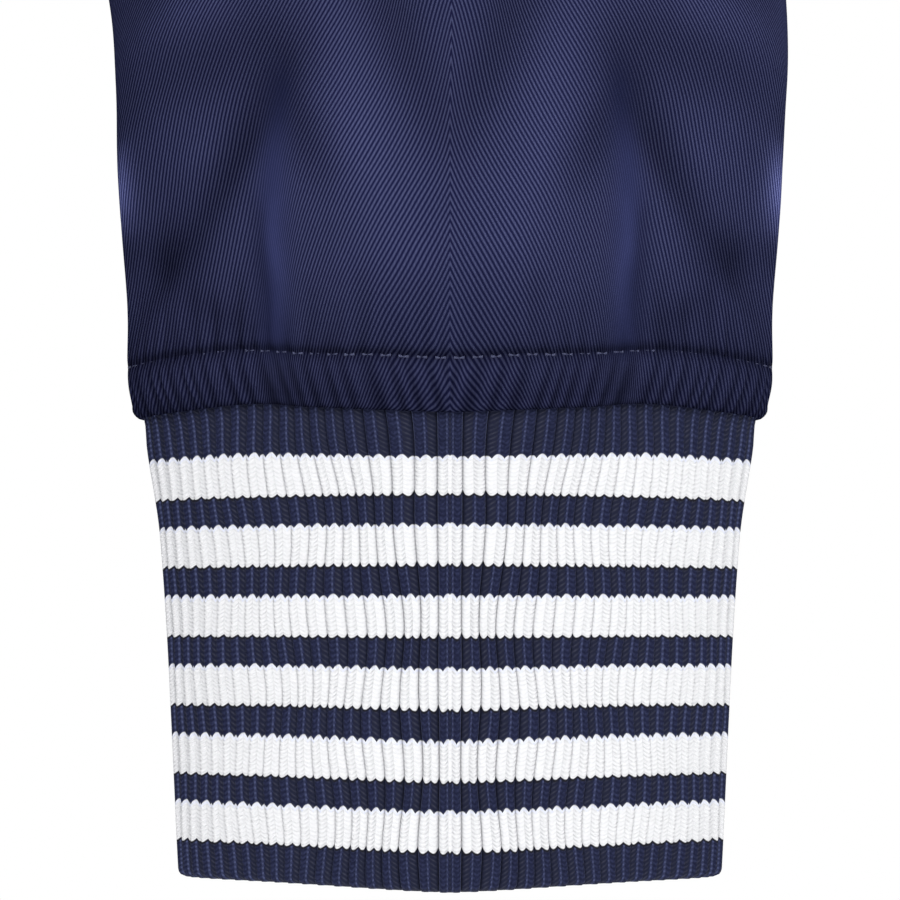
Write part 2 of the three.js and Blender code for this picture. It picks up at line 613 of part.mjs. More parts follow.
const twill = new THREE.MeshStandardMaterial({ color: 0x262b55, roughness: 0.42, metalness: 0 });
const rib = new THREE.MeshStandardMaterial({ color: 0x1f2547, roughness: 0.85, metalness: 0 });
const stripedRib = new THREE.MeshStandardMaterial({ color: 0xdedfe2, roughness: 0.85, metalness: 0 });
const tape = new THREE.MeshStandardMaterial({ color: 0x1b203d, roughness: 0.8, metalness: 0 });
const metal = new THREE.MeshStandardMaterial({ color: 0x2a2d3c, roughness: 0.35, metalness: 1 });

const jacket = new THREE.Group();

function place(name, geometry, material, parent = jacket) {
  const mesh = new THREE.Mesh(geometry, material);
  mesh.name = name;
  parent.add(mesh);
  return mesh;
}

const pairs = [
  ["front", frontPanel(), twill],
  ["sleeve", sleeve(), twill],
  ["cuff", cuff(), stripedRib],
  ["zip_tape", zipTape(), tape],
];
for (const [name, geometry, material] of pairs) {
  place(`${name}_left`, geometry, material);
  place(`${name}_right`, mirrored(geometry), material);
}
place("back", backPanel(), twill);
place("hem_band", hemBand(), rib);
place("collar", collar(), rib);

const seat = behindFront(SLIDER_Z, tapeDepth(SLIDER_Z));
const zipHead = new THREE.Group();
zipHead.position.set(0, seat.y, seat.z);
zipHead.rotation.x = -seat.lean;
jacket.add(zipHead);
place("zip_slider", slider(), metal, zipHead);
const tab = place("pull_tab", pullTab(), metal, zipHead);
tab.position.y = -(ZIP.chainDepth + SLIDER.gap + SLIDER.plate + BRIDGE.clear / 2);

const boxFront = ZIP_BOX.depth / 2 + SEAM_GAP;
const boxSeat = behindFront(TAPE_BOTTOM_Z + ZIP_BOX.height / 2, tapeDepth(HEM_BOTTOM_Z) - boxFront);
const zipBox = place("zip_box", block(ZIP_BOX.width, ZIP_BOX.depth, ZIP_BOX.height, 0, 0, 0), metal);
zipBox.position.set(0, boxSeat.y, boxSeat.z);
zipBox.rotation.x = -boxSeat.lean;

export default jacket;
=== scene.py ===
"""A zip-front track jacket with knitted rib cuffs, hem and collar, filled out as it is when worn.

Sizes are in millimetres until a mesh is made, and every mesh is in metres. +Z is up, the front faces
-Y and the wearer's left is at +X. The origin lies midway between the neck points of the shoulder seams.
"""

import logging
import math
from dataclasses import dataclass, field
from enum import Enum
from typing import Any, Callable, Sequence, Union

import bpy
import numpy as np
from mathutils import Matrix, Vector


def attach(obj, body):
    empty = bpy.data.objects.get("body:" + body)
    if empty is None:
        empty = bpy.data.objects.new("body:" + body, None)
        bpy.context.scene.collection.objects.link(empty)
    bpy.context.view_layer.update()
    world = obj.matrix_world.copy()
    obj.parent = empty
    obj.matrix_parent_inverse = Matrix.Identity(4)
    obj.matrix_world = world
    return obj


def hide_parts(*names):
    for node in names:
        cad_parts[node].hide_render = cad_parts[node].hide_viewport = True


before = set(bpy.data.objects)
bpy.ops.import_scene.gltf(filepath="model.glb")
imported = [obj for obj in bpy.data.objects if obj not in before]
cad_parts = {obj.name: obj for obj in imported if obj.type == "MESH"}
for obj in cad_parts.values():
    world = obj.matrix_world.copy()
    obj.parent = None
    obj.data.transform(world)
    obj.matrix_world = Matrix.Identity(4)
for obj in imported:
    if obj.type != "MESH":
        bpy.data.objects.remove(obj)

Array = np.ndarray
Number = Union[float, Array]
Surface = Callable[[Array, Array], Array]

LOG = logging.getLogger("jacket")
MM = 0.001
TAU = 2 * math.pi
# The other side of the body, by multiplying points.
MIRROR = np.array([-1.0, 1.0, 1.0])
# The rib's knit, as shares of a pair of wales and of a stripe repeat, and the repeat's height.
PAIR_START = 0.61
SUNKEN_SHARE = 0.50
WHITE_SHARE = 0.6
REPEAT_HEIGHT = 10.2


# ------------------------------------------------------------------ small tools


def lerp(low: Number, high: Number, part: Number) -> Number:
    """Returns the value that lies part of the way from low to high."""
    return low + (high - low) * part


def smoothstep(part: Number) -> Number:
    """Returns 0 below 0, 1 above 1 and an S-shaped rise between them."""
    t = np.clip(part, 0.0, 1.0)
    return t * t * (3 - 2 * t)


def bell(distance: Number, width: Number) -> Number:
    """Returns 1 at no distance, falling away over about the given width."""
    return np.exp(-((distance / width) ** 2))


def unit(vectors: Array) -> Array:
    """Returns the vectors at length 1."""
    return vectors / np.maximum(np.linalg.norm(vectors, axis=-1, keepdims=True), 1e-12)


def points_of(x: Number, y: Number, z: Number) -> Array:
    """Returns points made from their three coordinates, which may be numbers or equal arrays."""
    return np.stack(np.broadcast_arrays(x, y, z), axis=-1).astype(float)


def cubic(start: Array, lead: Array, trail: Array, end: Array, t: Array) -> Array:
    """Returns points on cubic curves.

    Args:
        start: Where each curve starts.
        lead: The handle next to the start.
        trail: The handle next to the end.
        end: Where each curve ends.
        t: How far along each curve the point lies, 0 to 1.

    Returns:
        The points.
    """
    t = np.asarray(t, float)[..., None]
    s = 1 - t
    return start * s**3 + lead * (3 * s * s * t) + trail * (3 * s * t * t) + end * t**3


def eased_range(count: int, ease: float = 0.35) -> Array:
    """Returns count + 1 values from 0 to 1, drawn together near both ends by the ease, from 0 to 1."""
    steps = np.linspace(0, 1, count + 1)
    return lerp(steps, 0.5 - 0.5 * np.cos(np.pi * steps), ease)


def ripple(place: Array, pitch: float, wander: float = 1.6) -> Array:
    """Returns an uneven wave between -1 and 1, as gathered cloth makes.

    Args:
        place: The distance along the gathered edge.
        pitch: The mean distance between two puckers.
        wander: How uneven the puckers are.

    Returns:
        The wave.
    """
    slow = wander * np.sin(TAU * place / (pitch * 7.3) + 0.7)
    quick = 0.5 * wander * np.sin(TAU * place / (pitch * 2.9))
    return np.sin(TAU * place / pitch + (slow + quick))


def looped_round(points: Array) -> Array:
    """Returns a grid with its first column repeated at the end."""
    return np.concatenate([points, points[:, :1]], axis=1)


def length_along(points: Array) -> Array:
    """Returns the distance from a line's first point to each of its points."""
    steps = np.linalg.norm(np.diff(points, axis=0), axis=-1)
    return np.concatenate([[0.0], np.cumsum(steps)])


def side_name(left: bool) -> str:
    """Returns the name of the wearer's side."""
    return "left" if left else "right"


class Table:
    """Rows of sizes ordered by height, read through a smooth curve."""

    def __init__(self, columns: str, rows: Sequence[Sequence[float]]) -> None:
        """Sorts the rows by height.

        Args:
            columns: The columns' names. The first is z.
            rows: The sizes, a row for each height.
        """
        grid = np.array(rows, float)
        grid = grid[np.argsort(grid[:, 0])]
        self.columns = {name: grid[:, i] for i, name in enumerate(columns.split())}

    def at(self, column: str, z: Number) -> Array:
        """Reads one column at the given heights.

        Args:
            column: The column's name.
            z: The heights, which are held within the table.

        Returns:
            The size at each height.
        """
        heights = self.columns["z"]
        values = self.columns[column]
        last = len(heights) - 1
        before = np.maximum(np.arange(last + 1) - 1, 0)
        after = np.minimum(np.arange(last + 1) + 1, last)
        slopes = (values[after] - values[before]) / (heights[after] - heights[before])
        z = np.clip(np.asarray(z, float), heights[0], heights[-1])
        i = np.clip(np.searchsorted(heights, z, side="left") - 1, 0, last - 1)
        step = heights[i + 1] - heights[i]
        t = (z - heights[i]) / step
        rise = step * (t * (1 - t) ** 2 * slopes[i] - t * t * (1 - t) * slopes[i + 1])
        return lerp(values[i], values[i + 1], t * t * (3 - 2 * t)) + rise


@dataclass(frozen=True)
class Crease:
    """A soft trough (negative depth) or ridge that runs over the cloth from one point to another."""

    start: tuple[float, float]
    end: tuple[float, float]
    depth: float
    width: float
    sway: float = 0.0

    def lift(self, across: Array, up: Array) -> Array:
        """Measures how far the crease moves the cloth.

        Args:
            across: The points' places across the cloth, in the same units as start and end.
            up: Their heights.

        Returns:
            The distance to move each point outwards.
        """
        run = np.subtract(self.end, self.start)
        length = float(np.hypot(*run))
        off_x = across - self.start[0]
        off_z = up - self.start[1]
        along = (off_x * run[0] + off_z * run[1]) / length
        aside = (off_z * run[0] - off_x * run[1]) / length
        t = np.clip(along / length, 0, 1)
        past = along - t * length
        away = np.hypot(aside - self.sway * np.sin(TAU * t), past)
        return self.depth * bell(away, self.width) * self.swell(t)

    def swell(self, t: Array) -> Array:
        """Returns the crease's strength along its run."""
        return 0.55 + 0.45 * np.sin(np.pi * t)


@dataclass(frozen=True)
class Fold(Crease):
    """A larger fold, which swells and fades without an edge."""

    def swell(self, t: Array) -> Array:
        """Returns the fold's strength along its run."""
        return 0.50 + 0.50 * np.sin(np.pi * t) ** 2


def creases_of(rows: Sequence[Sequence[float]], kind: type[Crease] = Crease) -> tuple[Crease, ...]:
    """Makes creases from rows of start and end, across and up, then depth, width and any sway."""
    return tuple(kind((x, z), (to_x, to_z), *sizes) for x, z, to_x, to_z, *sizes in rows)


def total_lift(creases: Sequence[Crease], across: Array, up: Array) -> Array:
    """Returns how far several creases move the cloth together."""
    return sum(crease.lift(across, up) for crease in creases)


def normals_of(surface: Surface, u: Array, v: Array, turned: bool) -> Array:
    """Returns a surface's unit normals.

    Args:
        surface: Gives a point for each pair of u and v.
        u: The places across.
        v: The places along, 0 to 1.
        turned: Whether across times along points inwards.

    Returns:
        The normals.
    """
    step = 1e-3
    across = surface(u + step, v) - surface(u - step, v)
    along = surface(u, np.minimum(v + step, 1)) - surface(u, np.maximum(v - step, 0))
    return unit(np.cross(across, along)) * (-1 if turned else 1)


# ------------------------------------------------------------------ the jacket's form


@dataclass(frozen=True)
class BodyForm:
    """The form of the fronts and the back, and of the armholes."""

    hem_seam_z: float = -615.0
    hem_bottom_z: float = -680.0
    underarm: tuple[float, float] = (207.0, -245.0)
    shoulder_point: tuple[float, float] = (219.0, -46.0)
    neck_point: tuple[float, float] = (75.0, 0.0)
    armhole_hollow: float = 24.0
    roundness: float = 2.4
    round_at_neck: float = 150.0
    round_at_point: float = 82.0
    seam_sag: float = 4.0
    neck_front_z: float = -80.0
    neck_back_z: float = -15.0
    zip_edge: float = 9.0
    quarter_arc: float = 0.5523
    # Heights of the rows of the side seam, and the shares of a panel's length at the armhole's ends.
    side_heights: tuple[float, ...] = (
        -615, -602, -585, -562, -530, -490, -445, -395, -345, -300, -267, -250, -245,
    )
    under_share: float = 12 / 28
    top_share: float = 23 / 28
    torso: Table = field(
        default_factory=lambda: Table(
            "z side front back",
            [
                (-680, 172, 119, 113),
                (-615, 187, 133, 127),
                (-585, 199, 143, 135),
                (-540, 203, 146, 137),
                (-450, 204, 144, 130),
                (-340, 206, 141, 127),
                (-245, 207, 137, 131),
                (-180, 211, 129, 131),
                (-130, 217, 115, 125),
                (-80, 226, 97, 113),
                (-15, 238, 80, 97),
                (30, 246, 76, 84),
            ],
        )
    )

    def shoulder_seam(self, x: Array) -> Array:
        """Returns the height of the shoulder seam at a distance from the centre line.

        Args:
            x: The distance from the centre line.

        Returns:
            The height of the seam.
        """
        t = (x - self.neck_point[0]) / (self.shoulder_point[0] - self.neck_point[0])
        line = lerp(self.neck_point[1], self.shoulder_point[1], t)
        return line - self.seam_sag * np.sin(np.pi * np.clip(t, 0, 1))

    def point(self, x: Array, z: Array, forward: Union[bool, Array]) -> Array:
        """Places points on the body's outer face.

        Args:
            x: Their distances from the centre line.
            z: Their heights.
            forward: Whether each is on the front, rather than the back.

        Returns:
            The points.
        """
        out = np.minimum(x / self.torso.at("side", z), 1)
        t = (x - self.neck_point[0]) / (self.shoulder_point[0] - self.neck_point[0])
        rounding = lerp(self.round_at_neck, self.round_at_point, np.clip(t, 0, 1))
        below = np.clip((self.shoulder_seam(x) - z) / rounding, 0, 1)
        section = np.sqrt(np.maximum(0, 1 - np.abs(out) ** self.roundness))
        over = np.sqrt(np.maximum(0, 1 - (1 - below) ** 2))
        reach = np.where(forward, -self.torso.at("front", z), self.torso.at("back", z))
        return points_of(x, reach * section * over, z)

    def armhole(self, angle: Array) -> Array:
        """Returns points of the armhole, from the underarm (0) over the front to the shoulder (pi).

        Args:
            angle: The angle from the underarm.

        Returns:
            The points.
        """
        rise = (1 - np.cos(angle)) / 2
        inward = self.armhole_hollow * np.sin(angle) ** 2 * (1 - 0.5 * rise**2)
        x = lerp(self.underarm[0], self.shoulder_point[0], rise) - inward
        z = lerp(self.underarm[1], self.shoulder_point[1], rise)
        return self.point(x, z, np.sin(angle) >= 0)

    @staticmethod
    def armhole_angle(part: Array) -> Array:
        """Returns the armhole's angle for a part of its length, slower at the underarm and shoulder.

        Args:
            part: The part of the whole length, 0 to 1.

        Returns:
            The angle.
        """
        first = part <= 0.5
        half = np.pi * smoothstep(np.where(first, 2 * part, 2 - 2 * part))
        return np.where(first, half, TAU - half)

    def side_height(self, part: Array) -> Array:
        """Returns the height at a part (0 to 1) of the side seam."""
        places = np.linspace(0, 1, len(self.side_heights))
        return np.interp(np.clip(part, 0, 1), places, self.side_heights)

    def panel_edge(self, v: Array, forward: bool) -> Array:
        """Returns the outer edge of a panel: its side seam, its armhole, then its shoulder seam.

        Args:
            v: How far from the hem (0) to the neckline (1).
            forward: Whether it is a front.

        Returns:
            The points.
        """
        side_z = self.side_height(v / self.under_share)
        side = points_of(self.torso.at("side", side_z), 0, side_z)
        t = np.clip((v - self.under_share) / (self.top_share - self.under_share), 0, 1)
        hole = self.armhole(self.armhole_angle(t / 2 if forward else 1 - t / 2))
        t = np.clip((v - self.top_share) / (1 - self.top_share), 0, 1) ** 1.6
        x = lerp(self.shoulder_point[0], self.neck_point[0], t)
        shoulder = points_of(x, 0, self.shoulder_seam(x))
        upper = np.where((v <= self.top_share)[..., None], hole, shoulder)
        return np.where((v <= self.under_share)[..., None], side, upper)

    def panel(self, u: Array, v: Array, forward: bool, start_x: float) -> Array:
        """Places points of a front or half a back, without its folds.

        Args:
            u: How far from the centre line (0) to the outer edge (1).
            v: How far from the hem (0) to the neckline (1).
            forward: Whether it is a front.
            start_x: Where the panel starts, from the centre line.

        Returns:
            The points.
        """
        u, v = np.broadcast_arrays(np.asarray(u, float), np.asarray(v, float))
        edge = self.panel_edge(v, forward)
        top_z = self.neck_front_z if forward else self.neck_back_z
        upper = np.maximum(0, (v - self.under_share) / (1 - self.under_share))
        lower_z = self.side_height(v / self.under_share)
        centre_z = np.where(v <= self.under_share, lower_z, lerp(self.underarm[1], top_z, upper))
        start = points_of(start_x, 0, centre_z)
        lead = start + points_of((edge[..., 0] - start_x) * self.quarter_arc, 0, 0)
        end = points_of(edge[..., 0], 0, edge[..., 2])
        flat = cubic(start, lead, end, end, np.clip(u, 0, 1))
        return self.point(flat[..., 0], flat[..., 2], forward)


BODY = BodyForm()


@dataclass(frozen=True)
class ArmForm:
    """The form of a sleeve below its cap, and of its cuff, for the wearer's left arm."""

    seam_z: float = -598.0
    centre: tuple[float, float] = (320.0, -20.0)
    cap_share: float = 5 / 18
    cuff_lens: float = 1.5
    heights: tuple[float, ...] = (
        -300, -345, -385, -412, -438, -468, -498, -525, -545, -560, -573, -584, -592, -598,
    )
    sections: Table = field(
        default_factory=lambda: Table(
            "z x y half_width half_depth lens",
            [
                (-300, 270, 1, 57, 69, 1),
                (-360, 283, 3, 57.5, 66, 1),
                (-430, 298, 1, 57, 61, 1),
                (-490, 311, -10, 55.0, 55, 1.05),
                (-535, 319.6, -18, 52.1, 47, 1.1),
                (-563, 320, -20, 50.8, 40, 1.2),
                (-585, 320, -20, 49.4, 32.5, 1.3),
                (-594, 320, -20, 49.1, 29, 1.4),
                (-598, 320, -20, 48.4, 25.8, 1.45),
            ],
        )
    )
    cuff_sections: Table = field(
        default_factory=lambda: Table(
            "z half_width half_depth",
            [(-598, 47, 24.4), (-602.5, 46.3, 23.6), (-618, 43.8, 23.1), (-668, 40.8, 22.4)],
        )
    )

    def ring(self, angle: Array, z: Array) -> Array:
        """Returns points round the arm: angle 0 faces the body, a quarter turn the front.

        Args:
            angle: The angle round the arm.
            z: The height.

        Returns:
            The points.
        """
        s = np.sin(angle)
        lens = self.sections.at("lens", z)
        x = self.sections.at("x", z) - self.sections.at("half_width", z) * np.cos(angle)
        y = self.sections.at("y", z) - self.sections.at("half_depth", z) * np.sign(s) * np.abs(s) ** lens
        return points_of(x, y, z)

    def cuff_ring(self, angle: Array, z: Array) -> Array:
        """Returns points round the cuff, without its ribs.

        Args:
            angle: The angle round the arm.
            z: The height.

        Returns:
            The points.
        """
        s = np.sin(angle)
        depth = self.cuff_sections.at("half_depth", z)
        x = self.centre[0] - self.cuff_sections.at("half_width", z) * np.cos(angle)
        y = self.centre[1] - depth * np.sign(s) * np.abs(s) ** self.cuff_lens
        return points_of(x, y, z)

    def share_at(self, z: Array) -> Array:
        """Returns the share of the sleeve's length (v) at a height below the cap.

        Args:
            z: The height.

        Returns:
            The share, 0 at the armhole and 1 at the seam.
        """
        places = np.linspace(0, 1, len(self.heights))
        part = np.interp(-np.asarray(z, float), -np.array(self.heights, float), places)
        return self.cap_share + (1 - self.cap_share) * part

    def sleeve(self, a: Array, v: Array) -> Array:
        """Places points of the sleeve, without its folds.

        Args:
            a: How far round the arm, in turns.
            v: How far from the armhole (0) to the cuff's seam (1).

        Returns:
            The points.
        """
        a, v = np.broadcast_arrays(np.asarray(a, float), np.asarray(v, float))
        angle = a * TAU
        places = np.linspace(0, 1, len(self.heights))
        part = np.clip((v - self.cap_share) / (1 - self.cap_share), 0, 1)
        lower = self.ring(angle, np.interp(part, places, self.heights))
        first_z = self.heights[0]
        start = BODY.armhole(BODY.armhole_angle(np.mod(a, 1))) - np.array([0.6, 0, 0])
        end = self.ring(angle, first_z)
        top = (1 - np.cos(angle)) / 2
        reach = np.linalg.norm(end - start, axis=-1, keepdims=True)
        leave = unit(points_of(1, -0.25 * np.sin(angle), lerp(-0.6, -0.3, top)))
        arrive = unit(self.ring(angle, first_z - 20) - end)
        lead = start + leave * reach * lerp(0.3, 0.27, top)[..., None] / 1.5
        trail = end - arrive * reach / 3
        cap = cubic(start, lead, trail, end, np.clip(v / self.cap_share, 0, 1))
        return np.where((v >= self.cap_share)[..., None], lower, cap)


ARM = ArmForm()

# How far the stitches and the cuff's seam lie above their mean heights, by the distance from the middle.
SEAM_WAVE = Table(
    "z stitches seam",
    [
        (0, -0.85, -0.57), (4, -0.80, -0.42), (10, -0.41, -0.13), (17, -0.15, 0.30), (21, 0.11, 0.56),
        (26.6, 0.73, 1.20), (31, 1.02, 1.32), (37, 0.97, 1.05), (41, 0.80, 0.92), (48, 0.50, 0.75),
    ],
)


# ------------------------------------------------------------------ cloth as closed shells


@dataclass
class Grid:
    """Points of one face of a cloth wall, row by row, and each point's place on the flat cloth."""

    points: Array
    flat: Array
    looped: bool = False
    marks: dict[str, Array] = field(default_factory=dict)

    def every(self, rows: int, columns: int) -> "Grid":
        """Returns the grid with only every so many rows and columns."""
        return Grid(self.points[::rows, ::columns], self.flat[::rows, ::columns], self.looped)


def flat_places(points: Array, looped: bool, middle: int = 0, downwards: bool = False) -> Array:
    """Lays a grid of points out flat.

    Args:
        points: The grid's points, in rows.
        looped: Whether the last column joins the first. The result then has one column more.
        middle: The column whose places across are 0.
        downwards: Whether the rows run down the cloth. Places along grow upwards.

    Returns:
        The place across and the place along of every point, in millimetres.
    """
    closed = looped_round(points) if looped else points
    steps = np.linalg.norm(np.diff(closed, axis=1), axis=-1)
    across = np.concatenate([np.zeros((len(points), 1)), np.cumsum(steps, axis=1)], axis=1)
    across -= across[:, middle : middle + 1]
    rises = np.linalg.norm(np.diff(closed, axis=0), axis=-1).mean(axis=1)
    along = np.concatenate([[0.0], np.cumsum(rises)]) * (-1 if downwards else 1)
    return np.stack([across, np.broadcast_to(along[:, None], across.shape)], axis=-1)


class Shell:
    """Builds a closed wall of cloth from the grids of its two faces."""

    def __init__(self) -> None:
        """Starts with no points."""
        self.points: list[Array] = []
        self.faces: list[Sequence[int]] = []
        self.corners: list[Array] = []
        self.marks: dict[str, list[Array]] = {}
        self.count = 0

    def add(self, grid: Grid, turned: bool) -> tuple[Array, Array]:
        """Adds the faces inside one grid.

        Args:
            grid: The points, in rows.
            turned: Whether its faces point the other way.

        Returns:
            The number of every point, with the first column repeated on a loop, and its flat place.
        """
        rows, columns = grid.points.shape[:2]
        numbers = self.count + np.arange(rows * columns).reshape(rows, columns)
        self.points.append(grid.points.reshape(-1, 3))
        for name, values in grid.marks.items():
            self.marks.setdefault(name, []).append(np.ravel(values))
        self.count += rows * columns
        if grid.looped:
            numbers = looped_round(numbers)
        corner = [numbers[:-1, :-1], numbers[:-1, 1:], numbers[1:, 1:], numbers[1:, :-1]]
        place = [grid.flat[:-1, :-1], grid.flat[:-1, 1:], grid.flat[1:, 1:], grid.flat[1:, :-1]]
        if turned:
            corner.reverse()
            place.reverse()
        self.faces.extend(np.stack(corner, axis=-1).reshape(-1, 4).tolist())
        self.corners.append(np.stack(place, axis=-2).reshape(-1, 2))
        return numbers, grid.flat

    def join(self, many: tuple[Array, Array], few: tuple[Array, Array], turned: bool) -> None:
        """Adds a strip of faces between two edges, one of which may have several points for one.

        Args:
            many: The numbers and flat places along the edge with more points.
            few: The same along the edge with fewer.
            turned: Whether its faces point the other way.
        """
        ratio = (len(many[0]) - 1) // (len(few[0]) - 1)
        for k in range(len(few[0]) - 1):
            fine = slice(k * ratio, (k + 1) * ratio + 1)
            ring = [few[0][k], few[0][k + 1], *many[0][fine][::-1]]
            place = [few[1][k], few[1][k + 1], *many[1][fine][::-1]]
            if turned:
                ring.reverse()
                place.reverse()
            self.faces.append([int(n) for n in ring])
            self.corners.append(np.array(place))

    def wall(self, outer: Sequence[Grid], inner: Grid) -> None:
        """Adds a closed wall.

        Args:
            outer: The outer face, as one grid or as several that follow on, each from the last one's
                final row, with equal or more columns.
            inner: The inner face, whose rows and columns divide those of the outer face.
        """
        parts = [self.add(grid, False) for grid in outer]
        back = self.add(inner, True)
        for upper, lower in zip(parts, parts[1:]):
            edge = (lower[0][0], lower[1][0]), (upper[0][-1], upper[1][-1])
            self.join(*edge, turned=False)
        first, last = parts[0], parts[-1]
        self.join((first[0][0], first[1][0]), (back[0][0], back[1][0]), turned=False)
        self.join((last[0][-1], last[1][-1]), (back[0][-1], back[1][-1]), turned=True)
        if not inner.looped:
            self.join((first[0][:, 0], first[1][:, 0]), (back[0][:, 0], back[1][:, 0]), turned=True)
            self.join((first[0][:, -1], first[1][:, -1]), (back[0][:, -1], back[1][:, -1]), turned=False)

    def piece(self, name: str, mirrored: bool = False, flat_map: str = "Cloth") -> bpy.types.Object:
        """Makes the wall an object, with its faces pointing out.

        Args:
            name: The object's name.
            mirrored: Whether to build it on the wearer's right.
            flat_map: The name of the UV map that holds the places on the flat cloth.

        Returns:
            The new object, at the origin, in metres.
        """
        points = np.concatenate(self.points) * MM
        if mirrored:
            points = points * MIRROR
        corners = np.concatenate(self.corners)
        mesh = bpy.data.meshes.new(name)
        mesh.from_pydata(points.tolist(), [], self.faces)
        layer = mesh.uv_layers.new(name=flat_map)
        layer.uv.foreach_set("vector", corners.astype(np.float32).ravel())
        for mark, values in self.marks.items():
            attribute = mesh.attributes.new(mark, "FLOAT", "POINT")
            full = np.zeros(len(points), np.float32)
            given = np.concatenate(values).astype(np.float32)
            full[: len(given)] = given
            attribute.data.foreach_set("value", full)
        if signed_volume(mesh) < 0:
            mesh.flip_normals()
        mesh.update()
        made = bpy.data.objects.new(name, mesh)
        bpy.context.scene.collection.objects.link(made)
        return made


def signed_volume(mesh: bpy.types.Mesh) -> float:
    """Returns a closed mesh's volume, which is negative where its faces point in.

    Args:
        mesh: The mesh.

    Returns:
        The volume, in cubic metres.
    """
    mesh.calc_loop_triangles()
    points = np.empty(len(mesh.vertices) * 3)
    mesh.vertices.foreach_get("co", points)
    corners = np.empty(len(mesh.loop_triangles) * 3, np.int32)
    mesh.loop_triangles.foreach_get("vertices", corners)
    a, b, c = points.reshape(-1, 3)[corners.reshape(-1, 3)].transpose(1, 0, 2)
    return float(np.einsum("ij,ij->i", a, np.cross(b, c)).sum() / 6)


def select(*pieces: bpy.types.Object) -> None:
    """Selects only the given pieces, and makes the first one active.

    Args:
        pieces: The pieces.
    """
    bpy.ops.object.select_all(action="DESELECT")
    for piece in pieces:
        piece.select_set(True)
    bpy.context.view_layer.objects.active = pieces[0]


def smooth(piece: bpy.types.Object, degrees: float) -> None:
    """Shades a piece smooth, with edges kept sharp where its faces turn by more than the angle."""
    select(piece)
    bpy.ops.object.shade_smooth_by_angle(angle=math.radians(degrees))


def even_columns(
    curve: Callable[[Array], Array], start: float, places: Array, samples: int = 6000
) -> Array:
    """Returns the parameters at which a closed curve has gone given shares of its length.

    Args:
        curve: Gives points for parameters, one turn being 1.
        start: The parameter where the length is counted from.
        places: The shares of the whole length, 0 to 1.
        samples: How finely the curve is measured.

    Returns:
        The parameters.
    """
    turn = start + np.linspace(0, 1, samples + 1)
    length = length_along(curve(turn))
    return np.interp(places, length / length[-1], turn)


def area_of(points: Array, looped: bool) -> float:
    """Returns the area of a grid of points in millimetres, in square metres.

    Args:
        points: The grid's points, in rows.
        looped: Whether the last column joins the first.

    Returns:
        The area.
    """
    closed = looped_round(points) if looped else points
    one = closed[1:, 1:] - closed[:-1, :-1]
    other = closed[1:, :-1] - closed[:-1, 1:]
    return float(np.linalg.norm(np.cross(one, other), axis=-1).sum() / 2) * MM * MM


# ------------------------------------------------------------------ shader expressions


def arithmetic(operation: str, swapped: bool = False) -> Callable[["Wire", Any], "Wire"]:
    """Makes an operator of a wire.

    Args:
        operation: The Math node's operation.
        swapped: Whether the wire comes second.

    Returns:
        The operator, as a method.
    """

    def operator(wire: "Wire", other: Any) -> "Wire":
        """Adds the Math node."""
        return wire.paint.math(operation, *((other, wire) if swapped else (wire, other)))

    return operator


class Wire:
    """A socket of a node tree. Arithmetic on it adds Math nodes."""

    def __init__(self, paint: "Paint", socket: bpy.types.NodeSocket) -> None:
        """Keeps the socket and the tree it belongs to."""
        self.paint = paint
        self.socket = socket

    __add__ = arithmetic("ADD")
    __radd__ = arithmetic("ADD", swapped=True)
    __sub__ = arithmetic("SUBTRACT")
    __rsub__ = arithmetic("SUBTRACT", swapped=True)
    __mul__ = arithmetic("MULTIPLY")
    __rmul__ = arithmetic("MULTIPLY", swapped=True)
    __truediv__ = arithmetic("DIVIDE")

    def __abs__(self) -> "Wire":
        """Drops the sign."""
        return self.paint.math("ABSOLUTE", self)

    def sine(self) -> "Wire":
        """Returns the sine."""
        return self.paint.math("SINE", self)

    def cosine(self) -> "Wire":
        """Returns the cosine."""
        return self.paint.math("COSINE", self)

    def fraction(self) -> "Wire":
        """Returns the part after the whole number below."""
        return self.paint.math("FRACT", self)

    def power(self, exponent: float) -> "Wire":
        """Raises to a power."""
        return self.paint.math("POWER", self, exponent)

    def above(self, limit: Any) -> "Wire":
        """Returns 1 where the value is above the limit, else 0."""
        return self.paint.math("GREATER_THAN", self, limit)

    def held(self) -> "Wire":
        """Holds the value between 0 and 1."""
        return self.paint.node("ShaderNodeClamp", {}, {"Value": self})

    def edge(self, softness: float) -> "Wire":
        """Returns 0 below zero and 1 above it, with a soft step as wide as softness."""
        return (self / softness + 0.5).held()


